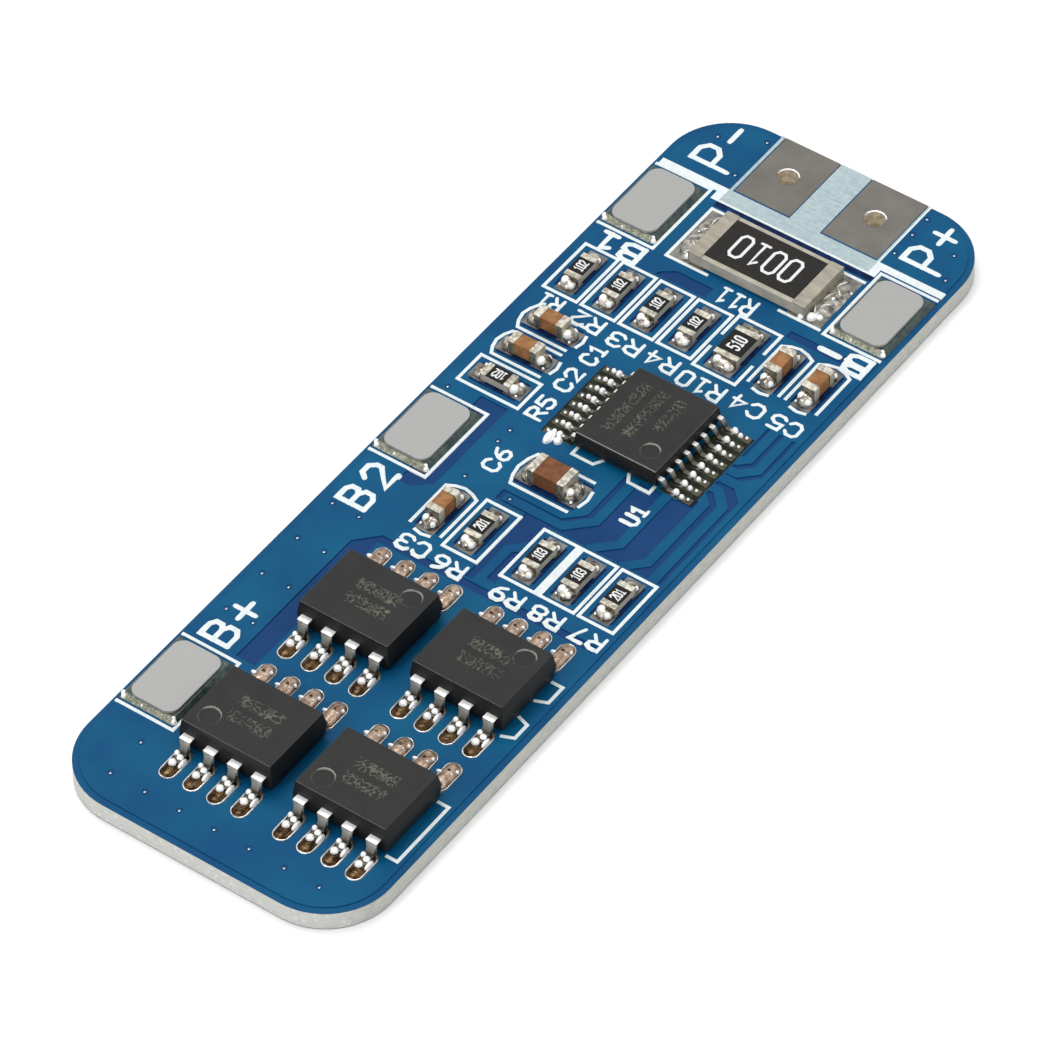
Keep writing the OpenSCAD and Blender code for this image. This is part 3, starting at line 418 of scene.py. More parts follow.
def make_shunt_end():
    f = Finish("shunt_end_metal", metallic=0.3, roughness=0.5)
    streaks = f.noise(0.3, 3, 0.6, stretch=(1, 0.25, 1))
    f.colour(f.blend(streaks.between(0.3, 0.7), paint(148, 142, 127), paint(178, 172, 157)))
    f.bump(streaks, 0.01, 0.5)
    return f.material


def make_ceramic():
    f = Finish("capacitor_ceramic", roughness=0.5, specular_ior_level=0.25)
    cloud = f.noise(0.4, 3).between(0.35, 0.65)
    small = f.blend(cloud, paint(140, 94, 52), paint(168, 120, 76))
    large = f.blend(cloud, paint(108, 64, 32), paint(132, 84, 48))
    f.colour(f.blend(within(f, LARGE_CAPACITOR[0], LARGE_CAPACITOR[1], 1.2, 1.2), small, large))
    f.bump(f.noise(0.12), 0.008, 0.5)
    return f.material


def make_via_mask():
    f = Finish("via_mask", roughness=0.2)
    f.colour(f.blend(f.noise(0.1), paint(8, 48, 96), paint(14, 60, 108)))
    return f.material


def make_via_pit():
    # Painted highlight: the pit is a pale blue speck
    f = Finish("via_pit", roughness=0.3)
    f.colour(f.blend(f.noise(0.1), paint(40, 96, 150), paint(60, 116, 168)))
    return f.material


def make_hole_plating():
    f = Finish("hole_plating", metallic=0.4, roughness=0.3)
    f.colour(f.blend(f.noise(0.3, 3).between(0.35, 0.65), paint(198, 182, 156), paint(240, 232, 216)))
    f.bump(f.noise(0.2), 0.02, 0.7)
    return f.material


def make_code_ink():
    f = Finish("code_ink", roughness=0.5)
    f.colour(f.blend(f.noise(0.1), paint(226, 228, 226), paint(246, 247, 246)))
    return f.material


def make_shaded_mask():
    # Painted shade, for the dark plates laid on the board
    f = Finish("shaded_mask", roughness=0.6, specular_ior_level=0.1)
    cloud = f.noise(0.5, 3).between(0.35, 0.65)
    shade = f.blend(cloud, paint(4, 22, 60), paint(10, 48, 98))
    # Painted shade: between the circuit's leads it is nearly black
    f.colour(f.blend(within(f, CIRCUIT[0], CIRCUIT[1], 2.7, 4.3), shade,
                     f.blend(cloud, paint(20, 26, 22), paint(48, 52, 40))))
    return f.material


FINISH = {
    "fibreglass": make_fibreglass(),
    "copper": make_copper(),
    "solder_mask": make_solder_mask(),
    "white_ink": make_white_ink(),
    "tinned_land": make_tinned_land(),
    "output_land": make_output_land(),
    "nickel_tab": make_nickel(),
    "solder": make_solder("bright_solder", paint(206, 203, 196), paint(240, 239, 235), 0.16,
                          metallic=0.7),
    # Painted highlight: near-white solder that glows
    "glint": make_solder("painted_glint_solder", paint(244, 243, 240), paint(253, 253, 252), 0.2, 0.003, 0.4,
                        glow=0.16),
    # Painted reflections: dark brown on the near toes, dull pinkish brown on the far ones
    "dark_reflection_toe": make_solder("painted_dark_reflection_solder", paint(38, 29, 20), paint(92, 72, 50), 0.2, 0.03),
    "far_reflection_toe": make_solder("far_painted_reflection_solder", paint(126, 104, 88), paint(186, 164, 146), 0.26, 0.03,
                           0.8),
    "lead_toe": make_solder("lead_solder_toe", paint(48, 48, 38), paint(96, 94, 78), 0.24, 0.02, 0.8),
    "shunt_solder": make_solder("shunt_solder", paint(88, 86, 82), paint(182, 178, 168), 0.32, 0.04,
                                0.7),
    "chip_solder": make_solder("chip_solder", paint(84, 74, 62), paint(206, 199, 186), 0.2, 0.05, 0.9),
    "flux_rim": make_flux_and_shade_rim(),
    "moulded_epoxy": make_moulding(),
    "tinned_lead": make_tinned_lead(),
    "alumina": make_alumina(),
    "black_overcoat": make_overcoat(),
    "end_cap_metal": make_end_cap(),
    "shunt_end_metal": make_shunt_end(),
    "capacitor_ceramic": make_ceramic(),
    "via_mask": make_via_mask(),
    "via_pit": make_via_pit(),
    "hole_plating": make_hole_plating(),
    "code_ink": make_code_ink(),
    "shaded_mask": make_shaded_mask(),
}


# ---- Modelling helpers ----

def select_only(*pieces):
    bpy.ops.object.select_all(action="DESELECT")
    for piece in pieces:
        piece.select_set(True)
    bpy.context.view_layer.objects.active = pieces[0]


def edit_all(piece, select="SELECT"):
    select_only(piece)
    bpy.ops.object.mode_set(mode="EDIT")
    bpy.ops.mesh.select_all(action=select)


def done_editing():
    bpy.ops.object.mode_set(mode="OBJECT")


def apply_place(*pieces):
    select_only(*pieces)
    bpy.ops.object.transform_apply(location=True, rotation=True, scale=True)


def apply_modifier(piece, kind, **settings):
    select_only(piece)
    modifier = piece.modifiers.new("shape", kind)
    for setting, value in settings.items():
        setattr(modifier, setting, value)
    bpy.ops.object.modifier_apply(modifier=modifier.name)


def lengthened(piece, straight):
    """Draws the two halves of a rounded piece apart along X, by straight millimetres in all."""
    for side in (-1, 1):
        edit_all(piece, "DESELECT")
        done_editing()
        for vertex in piece.data.vertices:
            vertex.select = vertex.co.x * side > 0.001 * MM
        bpy.ops.object.mode_set(mode="EDIT")
        bpy.ops.transform.translate(value=(side * straight / 2 * MM, 0, 0))
        done_editing()


def mound(length, width, height, at=(0, 0, 0), segments=16, rings=8, material="solder", straight=0):
    """A rounded heap standing on a flat foot, in millimetres."""
    bpy.ops.mesh.primitive_uv_sphere_add(segments=segments, ring_count=rings, radius=1)
    heap = bpy.context.object
    edit_all(heap)
    bpy.ops.mesh.bisect(plane_co=(0, 0, -0.05), plane_no=(0, 0, 1), clear_inner=True,
                        use_fill=True)
    bpy.ops.mesh.select_all(action="SELECT")
    bpy.ops.transform.resize(value=(length / 2 * MM, width / 2 * MM, height * MM),
                             center_override=(0, 0, 0))
    done_editing()
    if straight:
        lengthened(heap, straight)
    edit_all(heap)
    bpy.ops.transform.translate(value=[c * MM for c in at])
    done_editing()
    heap.data.materials.append(FINISH[material])
    return heap


def slab(length, width, height, at=(0, 0, 0), material="shaded_mask"):
    """A small plate with broken edges, about its middle, in millimetres."""
    bpy.ops.mesh.primitive_cube_add(size=1)
    plate = bpy.context.object
    edit_all(plate)
    bpy.ops.transform.resize(value=(length * MM, width * MM, height * MM), center_override=(0, 0, 0))
    bpy.ops.transform.translate(value=[c * MM for c in at])
    done_editing()
    apply_modifier(plate, "BEVEL", width=0.3 * height * MM, segments=2)
    plate.data.materials.append(FINISH[material])
    return plate


def ring(length, width, wire, at=(0, 0, 0), segments=28, material="solder", round_wire=6, straight=0):
    """An oval ring of wire lying flat, in millimetres."""
    bpy.ops.mesh.primitive_torus_add(major_segments=segments, minor_segments=round_wire,
                                     major_radius=1, minor_radius=2 * wire / (length + width))
    hoop = bpy.context.object
    edit_all(hoop)
    bpy.ops.transform.resize(value=(length / 2 * MM, width / 2 * MM, (length + width) / 4 * MM),
                             center_override=(0, 0, 0))
    done_editing()
    if straight:
        lengthened(hoop, straight)
    edit_all(hoop)
    bpy.ops.transform.translate(value=[c * MM for c in at])
    done_editing()
    hoop.data.materials.append(FINISH[material])
    return hoop


def beads(*places):
    """Round drops of solder painted near white and glowing as highlights, each as x, y, z, width and
    height.
    """
    return [mound(size, size, tall, (x, y, z), 14, 8, "glint") for x, y, z, size, tall in places]


def joined(name, *pieces):
    select_only(*pieces)
    bpy.ops.object.join()
    whole = bpy.context.object
    whole.name = name
    return whole


def spread(name, pattern, places, lift=0):
    """Copies a pattern to each place and joins the copies; each place is x, y and a turn."""
    copies = []
    for x, y, turn in places:
        copy = pattern.copy()
        copy.data = pattern.data.copy()
        bpy.context.collection.objects.link(copy)
        copy.location = (x * MM, y * MM, lift * MM)
        copy.rotation_euler = (0, 0, math.radians(turn))
        copies.append(copy)
    bpy.data.objects.remove(pattern)
    apply_place(*copies)
    return joined(name, *copies)


def roughen(piece, lump, height):
    """Gives a smooth heap the uneven skin of set solder."""
    texture = bpy.data.textures.new(piece.name + " lumps", "CLOUDS")
    texture.noise_scale = lump * MM
    texture.noise_depth = 1
    apply_modifier(piece, "DISPLACE", texture=texture, strength=height * MM, mid_level=0.5,
                   texture_coords="LOCAL")


def keep(piece, slot, *replaced, angle=40):
    """Puts a finished piece on the board."""
    select_only(piece)
    bpy.ops.object.shade_smooth_by_angle(angle=math.radians(angle))
    if replaced:
        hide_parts(*replaced)
    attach(piece, "root")
    return piece


def turned(x, y, degrees, along, across):
    """A place given along and across a package that stands at x, y, turned."""
    c, s = math.cos(math.radians(degrees)), math.sin(math.radians(degrees))
    return x + along * c - across * s, y + along * s + across * c


# ---- Finishes of the CAD pieces ----

def finish_of(name):
    """The finish of a CAD piece, by its name."""
    if name.startswith("output_pad"):
        return "output_land"
    if name.startswith("tab_solder"):
        return "flux_rim"
    if name.startswith("tab_"):
        return "nickel_tab"
    if name.startswith("transistor_") and name.endswith("_body") or name == "protection_circuit_body":
        return "moulded_epoxy"
    if name.endswith("_leads"):
        return "tinned_lead"
    if name == "shunt_terminations":
        return "shunt_end_metal"
    if name.endswith("_end_caps"):
        return "end_cap_metal"
    if name in ("shunt_overcoat", "resistor_overcoats"):
        return "black_overcoat"
    if name.startswith("capacitor_"):
        return "capacitor_ceramic"
    if name.startswith("resistor_") or name == "shunt_ceramic":
        return "alumina"
    return {"fibreglass_core": "fibreglass", "top_copper": "copper",
            "top_solder_mask": "solder_mask", "bottom_solder_mask": "solder_mask",
            "top_legend": "white_ink", "component_lands": "tinned_land"}.get(name, "chip_solder")


# How much of each finish's edges is broken, in millimetres
EDGE = {"moulded_epoxy": 0.03, "shunt_end_metal": 0.05, "tinned_lead": 0.035, "nickel_tab": 0.05,
        "end_cap_metal": 0.05, "alumina": 0.03, "capacitor_ceramic": 0.05}

for name, piece in nodes.items():
    finish = finish_of(name)
    piece.data.materials.clear()
    piece.data.materials.append(FINISH[finish])
    if finish in EDGE:
        weld = piece.modifiers.new("weld", "WELD")
        weld.merge_threshold = 0.00001 * MM
        bevel = piece.modifiers.new("soft edges", "BEVEL")
        bevel.width = EDGE[finish] * MM
        bevel.segments = 2
        # The pin-one dimples are finer than the body's edges
        bevel.use_clamp_overlap = finish != "moulded_epoxy"
        bevel.limit_method = "ANGLE"
        bevel.angle_limit = math.radians(30)


# ---- Solder on the transistors' leads ----

# The leads' places along a package, and how far a land's middle is from the package's middle
LEAD_ROW = [1.27 * (i - 1.5) for i in range(4)]
LAND_AT = 2.95


def near_joint():
    """The side that faces -X: a toe painted dark as a reflection, inside a bright rim."""
    toe = mound(0.7, 0.68, 0.13, (0.1, 0, 0), 20, 10, "dark_reflection_toe", 0.9)
    rim = ring(0.76, 0.76, 0.075, (0.06, 0, 0.0), 28, straight=0.94)
    heel = mound(0.8, 0.5, 0.26, (-0.32, 0, 0), 14, 8, "lead_toe")
    return joined("joint", toe, rim, heel)


def near_beads():
    """Bright plates over the lead's bend, the top one a painted highlight, and a streak and drops
    painted as highlights where it meets the toe.
    """
    shoulder = top_of("transistor_1_leads") - LAND_Z
    top = slab(0.38, 0.56, 0.05, (-0.85, 0, shoulder), "glint")
    front = slab(0.05, 0.54, 0.5, (-0.68, 0, shoulder - 0.24), "tinned_lead")
    streak = mound(0.6, 0.2, 0.18, (-0.1, 0.28, 0.06), 14, 8, "glint")
    return joined("beads", top, front, streak,
                  *beads((0.12, -0.08, 0.1, 0.38, 0.24), (-0.22, 0.08, 0.24, 0.32, 0.14),
                         (-0.38, -0.2, 0.18, 0.27, 0.18)))


def far_joint():
    """The side that faces +X: a dome painted dull pinkish brown as a reflection, a dark painted
    reflection spot on it, and a bright rim.
    """
    toe = mound(0.76, 0.74, 0.26, (0.06, 0, 0), 20, 10, "far_reflection_toe", 0.9)
    rim = ring(0.8, 0.8, 0.05, (0.06, 0, 0.02), 28, straight=0.9)
    spot = mound(0.16, 0.2, 0.06, (0.3, 0.02, 0.23), 10, 6, "dark_reflection_toe")
    return joined("joint", toe, rim, spot)


def far_beads():
    """A painted highlight patch on the dome's side and two small drops painted as highlights."""
    return joined("beads", mound(0.2, 0.4, 0.12, (0.14, 0.38, 0.02), 14, 8, "glint"),
                  *beads((0.46, -0.28, 0.1, 0.18, 0.12), (0.16, -0.2, 0.2, 0.12, 0.1)))


near, far = [], []
for x, y, _ in TRANSISTORS:
    for row in LEAD_ROW:
        near.append((*turned(x, y, 180, LAND_AT, row), 180))
        far.append((*turned(x, y, 0, LAND_AT, row), 0))
solder = joined("transistor_joints", spread("near", near_joint(), near, LAND_Z),
                spread("far", far_joint(), far, LAND_Z))
roughen(solder, 0.35, 0.03)
solder = joined("transistor_joints", solder, spread("near", near_beads(), near, LAND_Z),
                spread("far", far_beads(), far, LAND_Z))
keep(solder, "solder", "transistor_solder", angle=60)


# ---- Solder on the protection circuit's leads ----

CIRCUIT_ROW = [0.65 * (i - 3.5) for i in range(8)]
CIRCUIT_LAND_AT = 3.2


def circuit_joint():
    """A flat toe under the lead's foot and a heel behind it."""
    toe = mound(1.2, 0.3, 0.08, (0.1, 0, 0), 12, 6, "lead_toe")
    heel = mound(0.5, 0.3, 0.16, (-0.2, 0, 0), 10, 6)
    return joined("joint", toe, heel)


x, y = CIRCUIT[:2]
places = [(x + along, y + side * CIRCUIT_LAND_AT, side * 90)
          for side in (1, -1) for along in CIRCUIT_ROW]
circuit = spread("circuit_joints", circuit_joint(), places, LAND_Z)
roughen(circuit, 0.25, 0.03)
# Drops painted near white as highlights
drops = joined("beads", *beads((-0.1, 0.03, 0.1, 0.32, 0.24), (0.24, -0.03, 0.06, 0.24, 0.18),
                               (0.54, 0.03, 0.04, 0.15, 0.1)))
drops = spread("beads", drops, places, LAND_Z)
# One lead end carries a large run of solder, painted near white as a highlight
run = mound(0.9, 0.46, 0.3, (x - 2.62, y + 3.45, LAND_Z), 20, 10, "glint")
run_end = mound(0.44, 0.4, 0.24, (x - 2.6, y + 3.0, LAND_Z), 16, 9, "glint")
keep(joined("circuit_joints", circuit, drops, run, run_end), "solder", "circuit_solder", angle=60)


# ---- Solder on the chips ----

# Along, across as a share of the width, size, height, and how far up as a share of the fillet
NEAR_BEADS = [(0.14, -0.22, 0.44, 0.28, 0.5), (0.26, 0.24, 0.34, 0.22, 0.34),
              (0.44, -0.04, 0.18, 0.1, 0.1), (0.36, -0.44, 0.14, 0.08, 0.1)]
FAR_BEADS = [(0.14, -0.42, 0.2, 0.18, 0.5), (0.36, 0.1, 0.12, 0.08, 0.1)]


def chip_joints(name, chips, chip, height):
    """A fillet up each end of each chip, the ends towards -X and -Y with the larger drops, the drops
    painted as highlights.
    """
    length, width = chip
    end = length / 2
    whole = []
    for half_turn, drops in ((180, NEAR_BEADS), (0, FAR_BEADS)):
        places = [(x, y, turn + half_turn) for x, y, turn in chips]
        fillet = mound(0.9, width * 1.06, height, (end + 0.1, 0, 0), 16, 8, "chip_solder")
        fillets = spread("fillets", fillet, places, LAND_Z)
        roughen(fillets, 0.3, 0.05)
        drops = beads(*[(end + x, y * width, rise * height, size, tall)
                        for x, y, size, tall, rise in drops])
        whole += [fillets, spread("drops", joined("drops", *drops), places, LAND_Z)]
    return joined(name, *whole)


chips = joined("chip_joints",
               chip_joints("resistor_joints", RESISTORS, CHIP, 0.34),
               chip_joints("wide_joints", [WIDE_RESISTOR], WIDE_CHIP, 0.36),
               chip_joints("capacitor_joints", CAPACITORS, CHIP, 0.5),
               chip_joints("large_joints", [LARGE_CAPACITOR], WIDE_CHIP, 0.55))
keep(chips, "solder", "chip_solder", angle=60)


# ---- Solder on the shunt's ends and on the tabs ----

SHUNT_LAND_AT = 3.55


def shunt_end():
    """A flat bed of solder with bright streaks that stand in for highlights."""
    bed = mound(1.4, 3.2, 0.12, (-0.1, 0, 0), 24, 10, "shunt_solder")
    streaks = spread("streaks", mound(0.62, 0.12, 0.12, (0, 0, 0.08), 12, 6),
                     [(-0.1, 1.1, 65), (0.0, 0.6, -40), (-0.2, 0.1, 75), (0.05, -0.45, 50),
                      (-0.25, -0.9, -60), (0.0, -1.2, 80)])
    return joined("bed", bed, streaks)


x, y = SHUNT[:2]
ends = [(x, y + side * SHUNT_LAND_AT, side * 90) for side in (1, -1)]
bed = spread("bed", shunt_end(), ends, LAND_Z)
roughen(bed, 0.35, 0.05)
# Drops painted as highlights
drops = beads((x - 1.42, y - 3.45, LAND_Z + 0.04, 0.46, 0.28),
              (x - 1.2, y - 3.75, LAND_Z + 0.02, 0.34, 0.16),
              (x - 1.62, y - 3.0, LAND_Z + 0.02, 0.3, 0.16), (x + 0.9, y - 4.05, LAND_Z, 0.14, 0.08),
              (x + 0.1, y - 3.6, LAND_Z + 0.04, 0.24, 0.12),
              (x - 1.42, y + 3.3, LAND_Z + 0.06, 0.32, 0.22), (x + 0.2, y + 3.8, LAND_Z, 0.2, 0.12))
keep(joined("shunt_joints", bed, *drops), "solder", "shunt_solder", angle=60)

# Drops painted as highlights on the flux rim at the tabs' corners that face -X
rim_z = 1.12
drops = []
for x, y, _ in TABS:
    drops += beads((x - 1.88, y + 1.4, rim_z, 0.24, 0.18), (x - 2.02, y + 1.28, rim_z, 0.26, 0.18),
                   (x - 1.86, y - 1.28, rim_z, 0.24, 0.18), (x - 2.0, y - 1.4, rim_z, 0.26, 0.18),
                   (x - 2.04, y + 0.3, rim_z + 0.02, 0.12, 0.1))
keep(joined("tab_drops", *drops), "solder", angle=60)


# ---- Tented vias ----

def via_places():
    """A column near the sawn end, a double row beside B+ and B2, and single ones."""
    row = [(-23.4, 5.45 - i * 11.04 / 6) for i in range(7)]
    row.append((-21.3, 5.45))
    row += [(-13.1 + 2.55 * i, BOARD[1] / 2 - y) for i in range(4) for y in (2.3, 0.85)]
    x, y = LARGE_CAPACITOR[:2]
    row += [(x + dx, y + dy) for dx, dy in [(-1.83, 3.43), (0.72, 3.48), (1.57, 3.43),
                                            (-1.83, 0.98), (2.17, 7.28)]]
    row += [(BOARD[0] / 2 - dx, y)
            for dx, y in [(1.7, 6.5), (3.35, 4.4), (0.75, 4.4), (0.75, -4.4),
                          (1.95, -4.4), (3.4, -4.4), (2, -6.7), (3.55, -7.25)]]
    return row


# Each via: a ring, a pit painted pale as a highlight, and a glowing drop painted as a glint
via = joined("via", ring(0.2, 0.2, 0.03, material="via_mask", segments=14),
             mound(0.16, 0.16, 0.012, (0, 0, -0.005), 12, 6, "via_pit"),
             mound(0.09, 0.09, 0.04, (-0.05, 0.0, 0), 8, 5, "glint"))
vias = spread("tented_vias", via, [(x, y, 0) for x, y in via_places()], MASK_Z)
keep(vias, "solder_mask", angle=60)


# ---- Painted shade: dark plates on the board in the chips' frames, round the circuit's leads and beside the shunt ----

x, y = CIRCUIT[:2]
thin = 0.01
plates = [(slab(2.55, 1.22, thin), RESISTORS + CAPACITORS),
          (slab(3.0, 1.7, thin), [WIDE_RESISTOR]),
          (slab(3.3, 1.7, thin), [LARGE_CAPACITOR]),
          (slab(0.34, 8.6, thin), [(19.6, SHUNT[1], 0)]),
          (slab(4.9, 1.72, thin), [(x, y + side * CIRCUIT_LAND_AT, 0) for side in (1, -1)])]
beds = joined("shaded_board", *[spread("beds", plate, where, MASK_Z) for plate, where in plates])
keep(beds, "solder_mask", angle=60)


# ---- Wire holes ----

HOLE_R = 0.492


def hole_lining(x, y):
    """The plating inside a wire hole."""
    bpy.ops.mesh.primitive_cylinder_add(vertices=48, radius=HOLE_R * MM, depth=LAND_Z * MM,
                                        end_fill_type="NOTHING")
    lining = bpy.context.object
    edit_all(lining)
    bpy.ops.transform.translate(value=(x * MM, y * MM, LAND_Z / 2 * MM))
    bpy.ops.mesh.flip_normals()
    done_editing()
    apply_modifier(lining, "SOLIDIFY", thickness=0.01 * MM, offset=-1.0)
    lining.data.materials.append(FINISH["hole_plating"])
    return lining


def bright_arc(x, y):
    """A painted highlight on the part of a hole's rim that catches the light."""
    arc = ring(1.04, 1.04, 0.08, (x, y, LAND_Z), 40, "glint", 8)
    edit_all(arc)
    bpy.ops.mesh.bisect(plane_co=((x + 0.12) * MM, (y + 0.1) * MM, 0), plane_no=(0.94, 0.34, 0),
                        clear_inner=True, use_fill=True)
    done_editing()
    return arc


rims = [ring(1.02, 1.02, 0.03, (x, y, LAND_Z), 40, "output_land", 8) for x, y, _ in OUTPUT_PADS]
rims += [bright_arc(x, y) for x, y, _ in OUTPUT_PADS]
linings = [hole_lining(x, y) for x, y, _ in OUTPUT_PADS]
keep(joined("wire_hole_rims", *rims, *linings), "solder", angle=60)


# ---- Lettering ----

# Strokes of each sign on a field 0.62 wide and 1 high
STROKES = {
    "P": [[(0, 0), (0, 1), (.42, 1), (.62, .84), (.62, .6), (.42, .44), (0, .44)]],
    "B": [[(0, 0), (0, 1), (.42, 1), (.58, .88), (.58, .66), (.42, .54), (0, .54)],
          [(.42, .54), (.62, .4), (.62, .14), (.44, 0), (0, 0)]],
    "R": [[(0, 0), (0, 1), (.42, 1), (.62, .86), (.62, .6), (.42, .46), (0, .46)],
          [(.3, .46), (.62, 0)]],
    "C": [[(.62, .8), (.46, 1), (.16, 1), (0, .8), (0, .2), (.16, 0), (.46, 0), (.62, .2)]],
    "U": [[(0, 1), (0, .2), (.16, 0), (.46, 0), (.62, .2), (.62, 1)]],
    "0": [[(.15, 0), (0, .14), (0, .86), (.15, 1), (.47, 1), (.62, .86), (.62, .14), (.47, 0),
           (.15, 0)]],
    "1": [[(.1, .8), (.32, 1), (.32, 0)], [(.1, 0), (.54, 0)]],
    "2": [[(0, .8), (.16, 1), (.46, 1), (.62, .8), (.62, .62), (0, 0), (.62, 0)]],
    "3": [[(0, .84), (.14, 1), (.46, 1), (.62, .86), (.62, .64), (.46, .52), (.24, .52)],
          [(.46, .52), (.62, .38), (.62, .14), (.46, 0), (.14, 0), (0, .16)]],
    "4": [[(.46, 0), (.46, 1), (0, .32), (.62, .32)]],
    "5": [[(.58, 1), (.06, 1), (0, .56), (.4, .6), (.62, .42), (.62, .18), (.44, 0), (.14, 0),
           (0, .14)]],
    "6": [[(.5, 1), (.2, .84), (0, .5), (0, .18), (.16, 0), (.46, 0), (.62, .18), (.62, .38),
           (.46, .54), (.14, .54), (0, .4)]],
    "7": [[(0, 1), (.62, 1), (.24, 0)]],
    "8": [[(.16, .54), (.06, .66), (.06, .88), (.18, 1), (.44, 1), (.56, .88), (.56, .66), (.46, .54),
           (.16, .54), (0, .38), (0, .14), (.16, 0), (.46, 0), (.62, .14), (.62, .38), (.46, .54)]],
    "9": [[(.12, 0), (.42, .16), (.62, .5), (.62, .82), (.46, 1), (.16, 1), (0, .82), (0, .62),
           (.16, .46), (.48, .46), (.62, .6)]],
    "+": [[(0, .5), (.62, .5)], [(.31, .19), (.31, .81)]],
    "-": [[(0, .5), (.62, .5)]],
}
STEP = 0.9


def pen_path(points, nib):
    """A stroke's points with rounded ends, each with the share of the nib it is drawn at."""
    path = [(Vector(p), 1.0) for p in points]
    for i in range(1, len(points) - 1):
        before = (path[i][0] - path[i - 1][0]).normalized()
        after = (path[i + 1][0] - path[i][0]).normalized()
        half_turn = before.angle(after, 0) / 2
        path[i] = (path[i][0], min(1.4, 1 / math.cos(half_turn)))
    ends = []
    for i, j in ((0, 1), (-1, -2)):
        out = (path[i][0] - path[j][0]).normalized() * nib / 2
        ends.append([(path[i][0] + out * reach, share)
                     for reach, share in ((0.6, 0.8), (0.9, 0.44), (1.0, 0.05))])
    return ends[0][::-1] + path + ends[1]


def lettering(name, words, nib, top, thickness, material, slot):
    """Words drawn with a round nib; each is text, low corner, high corner, and whether it reads up."""
    curve = bpy.data.curves.new(name, "CURVE")
    curve.dimensions = "3D"
    curve.bevel_depth = 1.0
    curve.bevel_resolution = 1
    curve.use_fill_caps = True
    for text, low, high, upright in words:
        length, height = (high[1] - low[1], high[0] - low[0]) if upright else \
                         (high[0] - low[0], high[1] - low[1])
        units = STEP * len(text) - (STEP - 0.62)
        across = (length - nib) / units
        up = height - nib
        for i, sign in enumerate(text):
            for level, stroke in enumerate(STROKES[sign]):
                flat = []
                for u, v in stroke:
                    reading = nib / 2 + (STEP * i + u) * across
                    rising = nib / 2 + v * up
                    if text in "+-":
                        rising = height / 2 + (v - 0.5) * across
                    flat.append((high[0] - rising, low[1] + reading) if upright
                                else (low[0] + reading, low[1] + rising))
                path = pen_path(flat, nib)
                spline = curve.splines.new("POLY")
                spline.points.add(len(path) - 1)
                for point, (place, share) in zip(spline.points, path):
                    point.co = (place.x * MM, place.y * MM, -0.03 * nib * level * MM, 1)
                    point.radius = share * nib / 2 * MM
    drawn = bpy.data.objects.new(name, curve)
    bpy.context.collection.objects.link(drawn)
    select_only(drawn)
    bpy.ops.object.convert(target="MESH")
    drawn = bpy.context.object
    drawn.scale = (1, 1, thickness / nib)
    drawn.location = (0, 0, (top - thickness / 2) * MM)
    apply_place(drawn)
    drawn.data.materials.append(FINISH[material])
    return keep(drawn, slot, angle=50)


# Text, low corner, high corner, and whether it reads across the board
LARGE_LABELS = [
    ("P", (21.35, 4.65), (22.8, 6.95), False), ("-", (23.15, 5.6), (24.4, 6.1), False),
    ("P", (21.35, -6.95), (22.75, -4.65), False), ("+", (23.05, -6.4), (24.45, -5.0), False),
    ("B", (-15.05, 5.6), (-13.7, 7.4), False), ("+", (-13.45, 5.7), (-12.05, 7.1), False),
    ("B", (-5.2, 5.6), (-3.9, 7.4), False), ("2", (-3.6, 5.6), (-2.3, 7.4), False),
    ("B1", (14.05, 4.75), (15.45, 7.4), True),
    ("B", (13.95, -7.65), (15.4, -6.25), True), ("-", (14.45, -6.15), (14.95, -4.85), True),
]
SMALL_LABELS = [
    ("R5", (3.7, 2.55), (5.3, 3.55), False), ("C2", (5.8, 2.55), (7.4, 3.55), False),
    ("C1", (7.8, 2.55), (9.2, 3.55), False), ("C6", (0.0, 2.3), (1.6, 3.3), False),
    ("U1", (0.85, -4.6), (2.2, -3.65), False), ("R11", (14.35, -1.3), (15.5, 0.8), True),
    ("R1", (9.6, 5.9), (10.6, 7.2), True), ("R2", (9.5, 3.6), (10.55, 5.3), True),
    ("R3", (9.35, 1.4), (10.4, 3.2), True), ("R4", (9.35, -0.55), (10.4, 1.15), True),
    ("R10", (9.1, -3.2), (10.2, -0.75), True), ("C4", (9.25, -5.3), (10.3, -3.5), True),
    ("C5", (9.25, -7.3), (10.3, -5.6), True), ("C3", (-6.0, 1.9), (-4.95, 3.6), True),
    ("R6", (-6.1, -0.1), (-5.1, 1.6), True), ("R9", (-6.1, -3.2), (-5.1, -1.55), True),
    ("R8", (-6.1, -5.3), (-5.1, -3.6), True), ("R7", (-6.1, -7.5), (-5.1, -5.8), True),
]


def on_part(text, place, length, height):
    """Plain numbers on top of a part, along it."""
    x, y, turn = place
    half_x, half_y = (height / 2, length / 2) if turn else (length / 2, height / 2)
    return text, (x - half_x, y - half_y), (x + half_x, y + half_y), bool(turn)


CODES = [on_part(code, place, 0.68, 0.56)
         for code, place in zip(["102", "102", "102", "102", "102", "201", "201", "103", "103"],
                                RESISTORS)]
lettering("large_labels", LARGE_LABELS, 0.36, INK_Z, 0.08, "white_ink", "white_ink")
lettering("small_labels", SMALL_LABELS, 0.23, INK_Z, 0.08, "white_ink", "white_ink")
code_top = top_of("resistor_overcoats") + 0.008
lettering("resistor_codes", CODES, 0.1, code_top, 0.03, "code_ink", "white_ink")
lettering("wide_resistor_code", [on_part("510", WIDE_RESISTOR, 0.9, 0.72)], 0.13, code_top, 0.03,
          "code_ink", "white_ink")
lettering("shunt_code", [on_part("0010", (*SHUNT[:2], 90), 3.5, 1.65)], 0.2,
          top_of("shunt_overcoat") + 0.008, 0.03, "code_ink", "white_ink")


# ---- Camera, light and floor ----

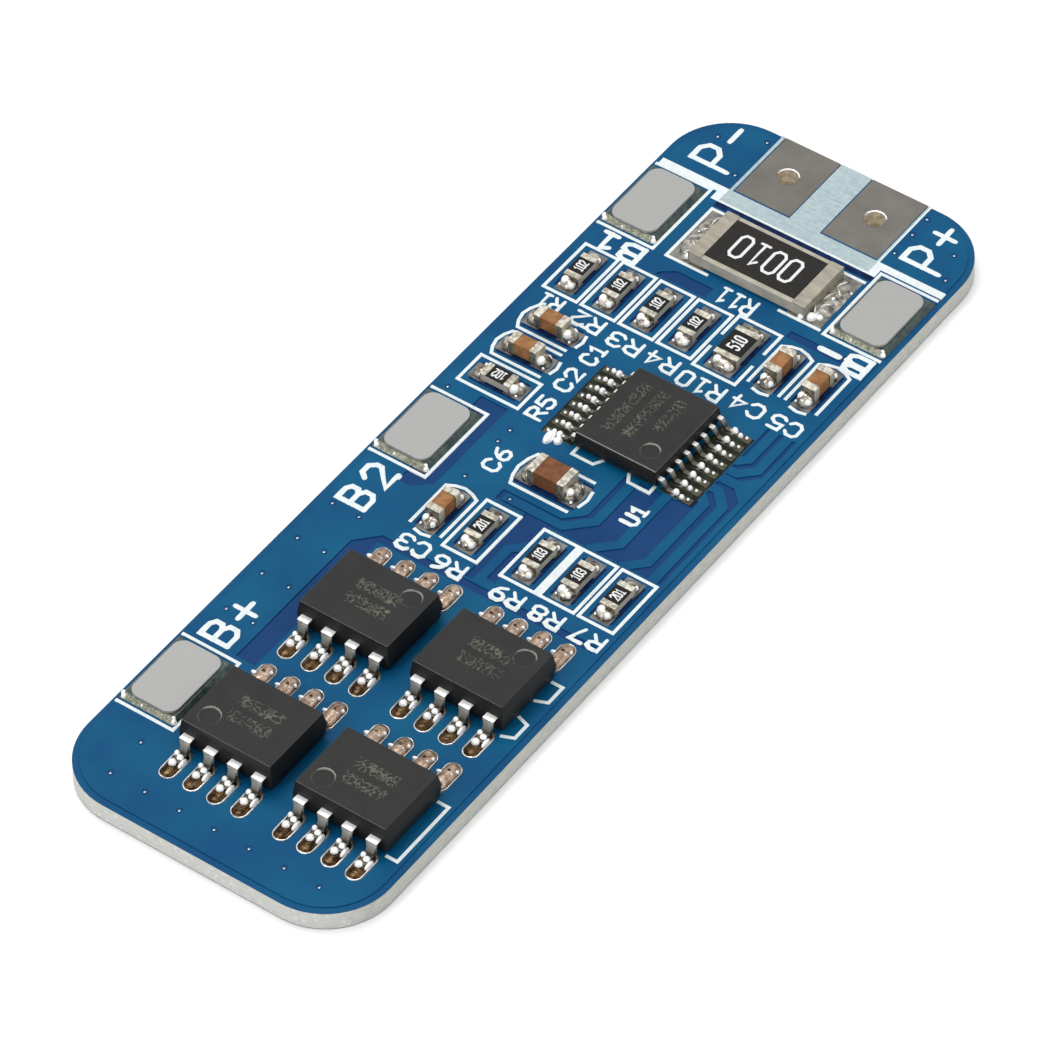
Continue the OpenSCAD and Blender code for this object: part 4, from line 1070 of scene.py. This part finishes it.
def place_camera():
    """Above the near left corner, looking at the board's middle; target and seat in millimetres."""
    target = Vector((-1.684, -0.511, 1.03)) * MM
    seat = Vector((-169.99, -125.15, 224.38)) * MM
    data = bpy.data.cameras.new("camera")
    data.sensor_width = 36
    data.lens = 240.5
    data.clip_start = 0.01
    camera = bpy.data.objects.new("camera", data)
    bpy.context.collection.objects.link(camera)
    camera.location = seat
    look = (target - seat).to_track_quat("-Z", "Y").to_matrix().to_4x4()
    camera.rotation_euler = (look @ Matrix.Rotation(math.radians(-1.12), 4, "Z")).to_euler()
    bpy.context.scene.camera = camera


def softbox(name, azimuth, elevation, distance, size, watts):
    """A round lamp that faces the board; angles in degrees, distance and size in metres."""
    a, e = math.radians(azimuth), math.radians(elevation)
    seat = Vector((math.cos(a) * math.cos(e), math.sin(a) * math.cos(e), math.sin(e))) * distance
    data = bpy.data.lights.new(name, "AREA")
    data.shape = "DISK"
    data.size = size
    data.energy = watts
    lamp = bpy.data.objects.new(name, data)
    bpy.context.collection.objects.link(lamp)
    lamp.location = seat
    lamp.rotation_euler = (-seat).to_track_quat("-Z", "Y").to_euler()
    return lamp


def make_world():
    """White where it is seen, also in metal, and a softer light on the board."""
    world = bpy.data.worlds.new("studio")
    bpy.context.scene.world = world
    world.use_nodes = True
    graph = Graph(world.node_tree)
    seen = graph.ray("Is Camera Ray").most(graph.ray("Is Glossy Ray"))
    seen = seen.most(graph.ray("Is Transmission Ray"))
    level = graph.node("ShaderNodeMapRange", {}, {"Value": seen, "To Min": 0.62, "To Max": 1.0})
    background = graph.tree.nodes["Background"]
    graph.put((1, 1, 1, 1), background.inputs["Color"])
    graph.put(level, background.inputs["Strength"])


def make_floor():
    # Just below the board, so that the two never share a plane
    bpy.ops.mesh.primitive_plane_add(size=3, location=(0, 0, -0.02 * MM))
    floor = bpy.context.object
    floor.name = "floor"
    material = bpy.data.materials.new("floor")
    material.use_nodes = True
    graph = Graph(material.node_tree)
    graph.tree.nodes.clear()
    matt = graph.node("ShaderNodeBsdfDiffuse", {}, {"Color": (0.86, 0.86, 0.86, 1)})
    glow = graph.node("ShaderNodeEmission", {}, {"Strength": graph.ray("Is Camera Ray") * 0.22})
    both = graph.node("ShaderNodeAddShader", {}, [matt, glow])
    graph.node("ShaderNodeOutputMaterial", {}, {"Surface": both}, None)
    floor.data.materials.append(material)


place_camera()
make_world()
make_floor()
softbox("overhead box", 60, 72, 0.5, 0.22, 0.75)
softbox("left box", 165, 38, 0.55, 0.14, 0.6)
softbox("right box", -60, 45, 0.55, 0.14, 0.2)
bpy.context.scene.view_settings.view_transform = "Standard"
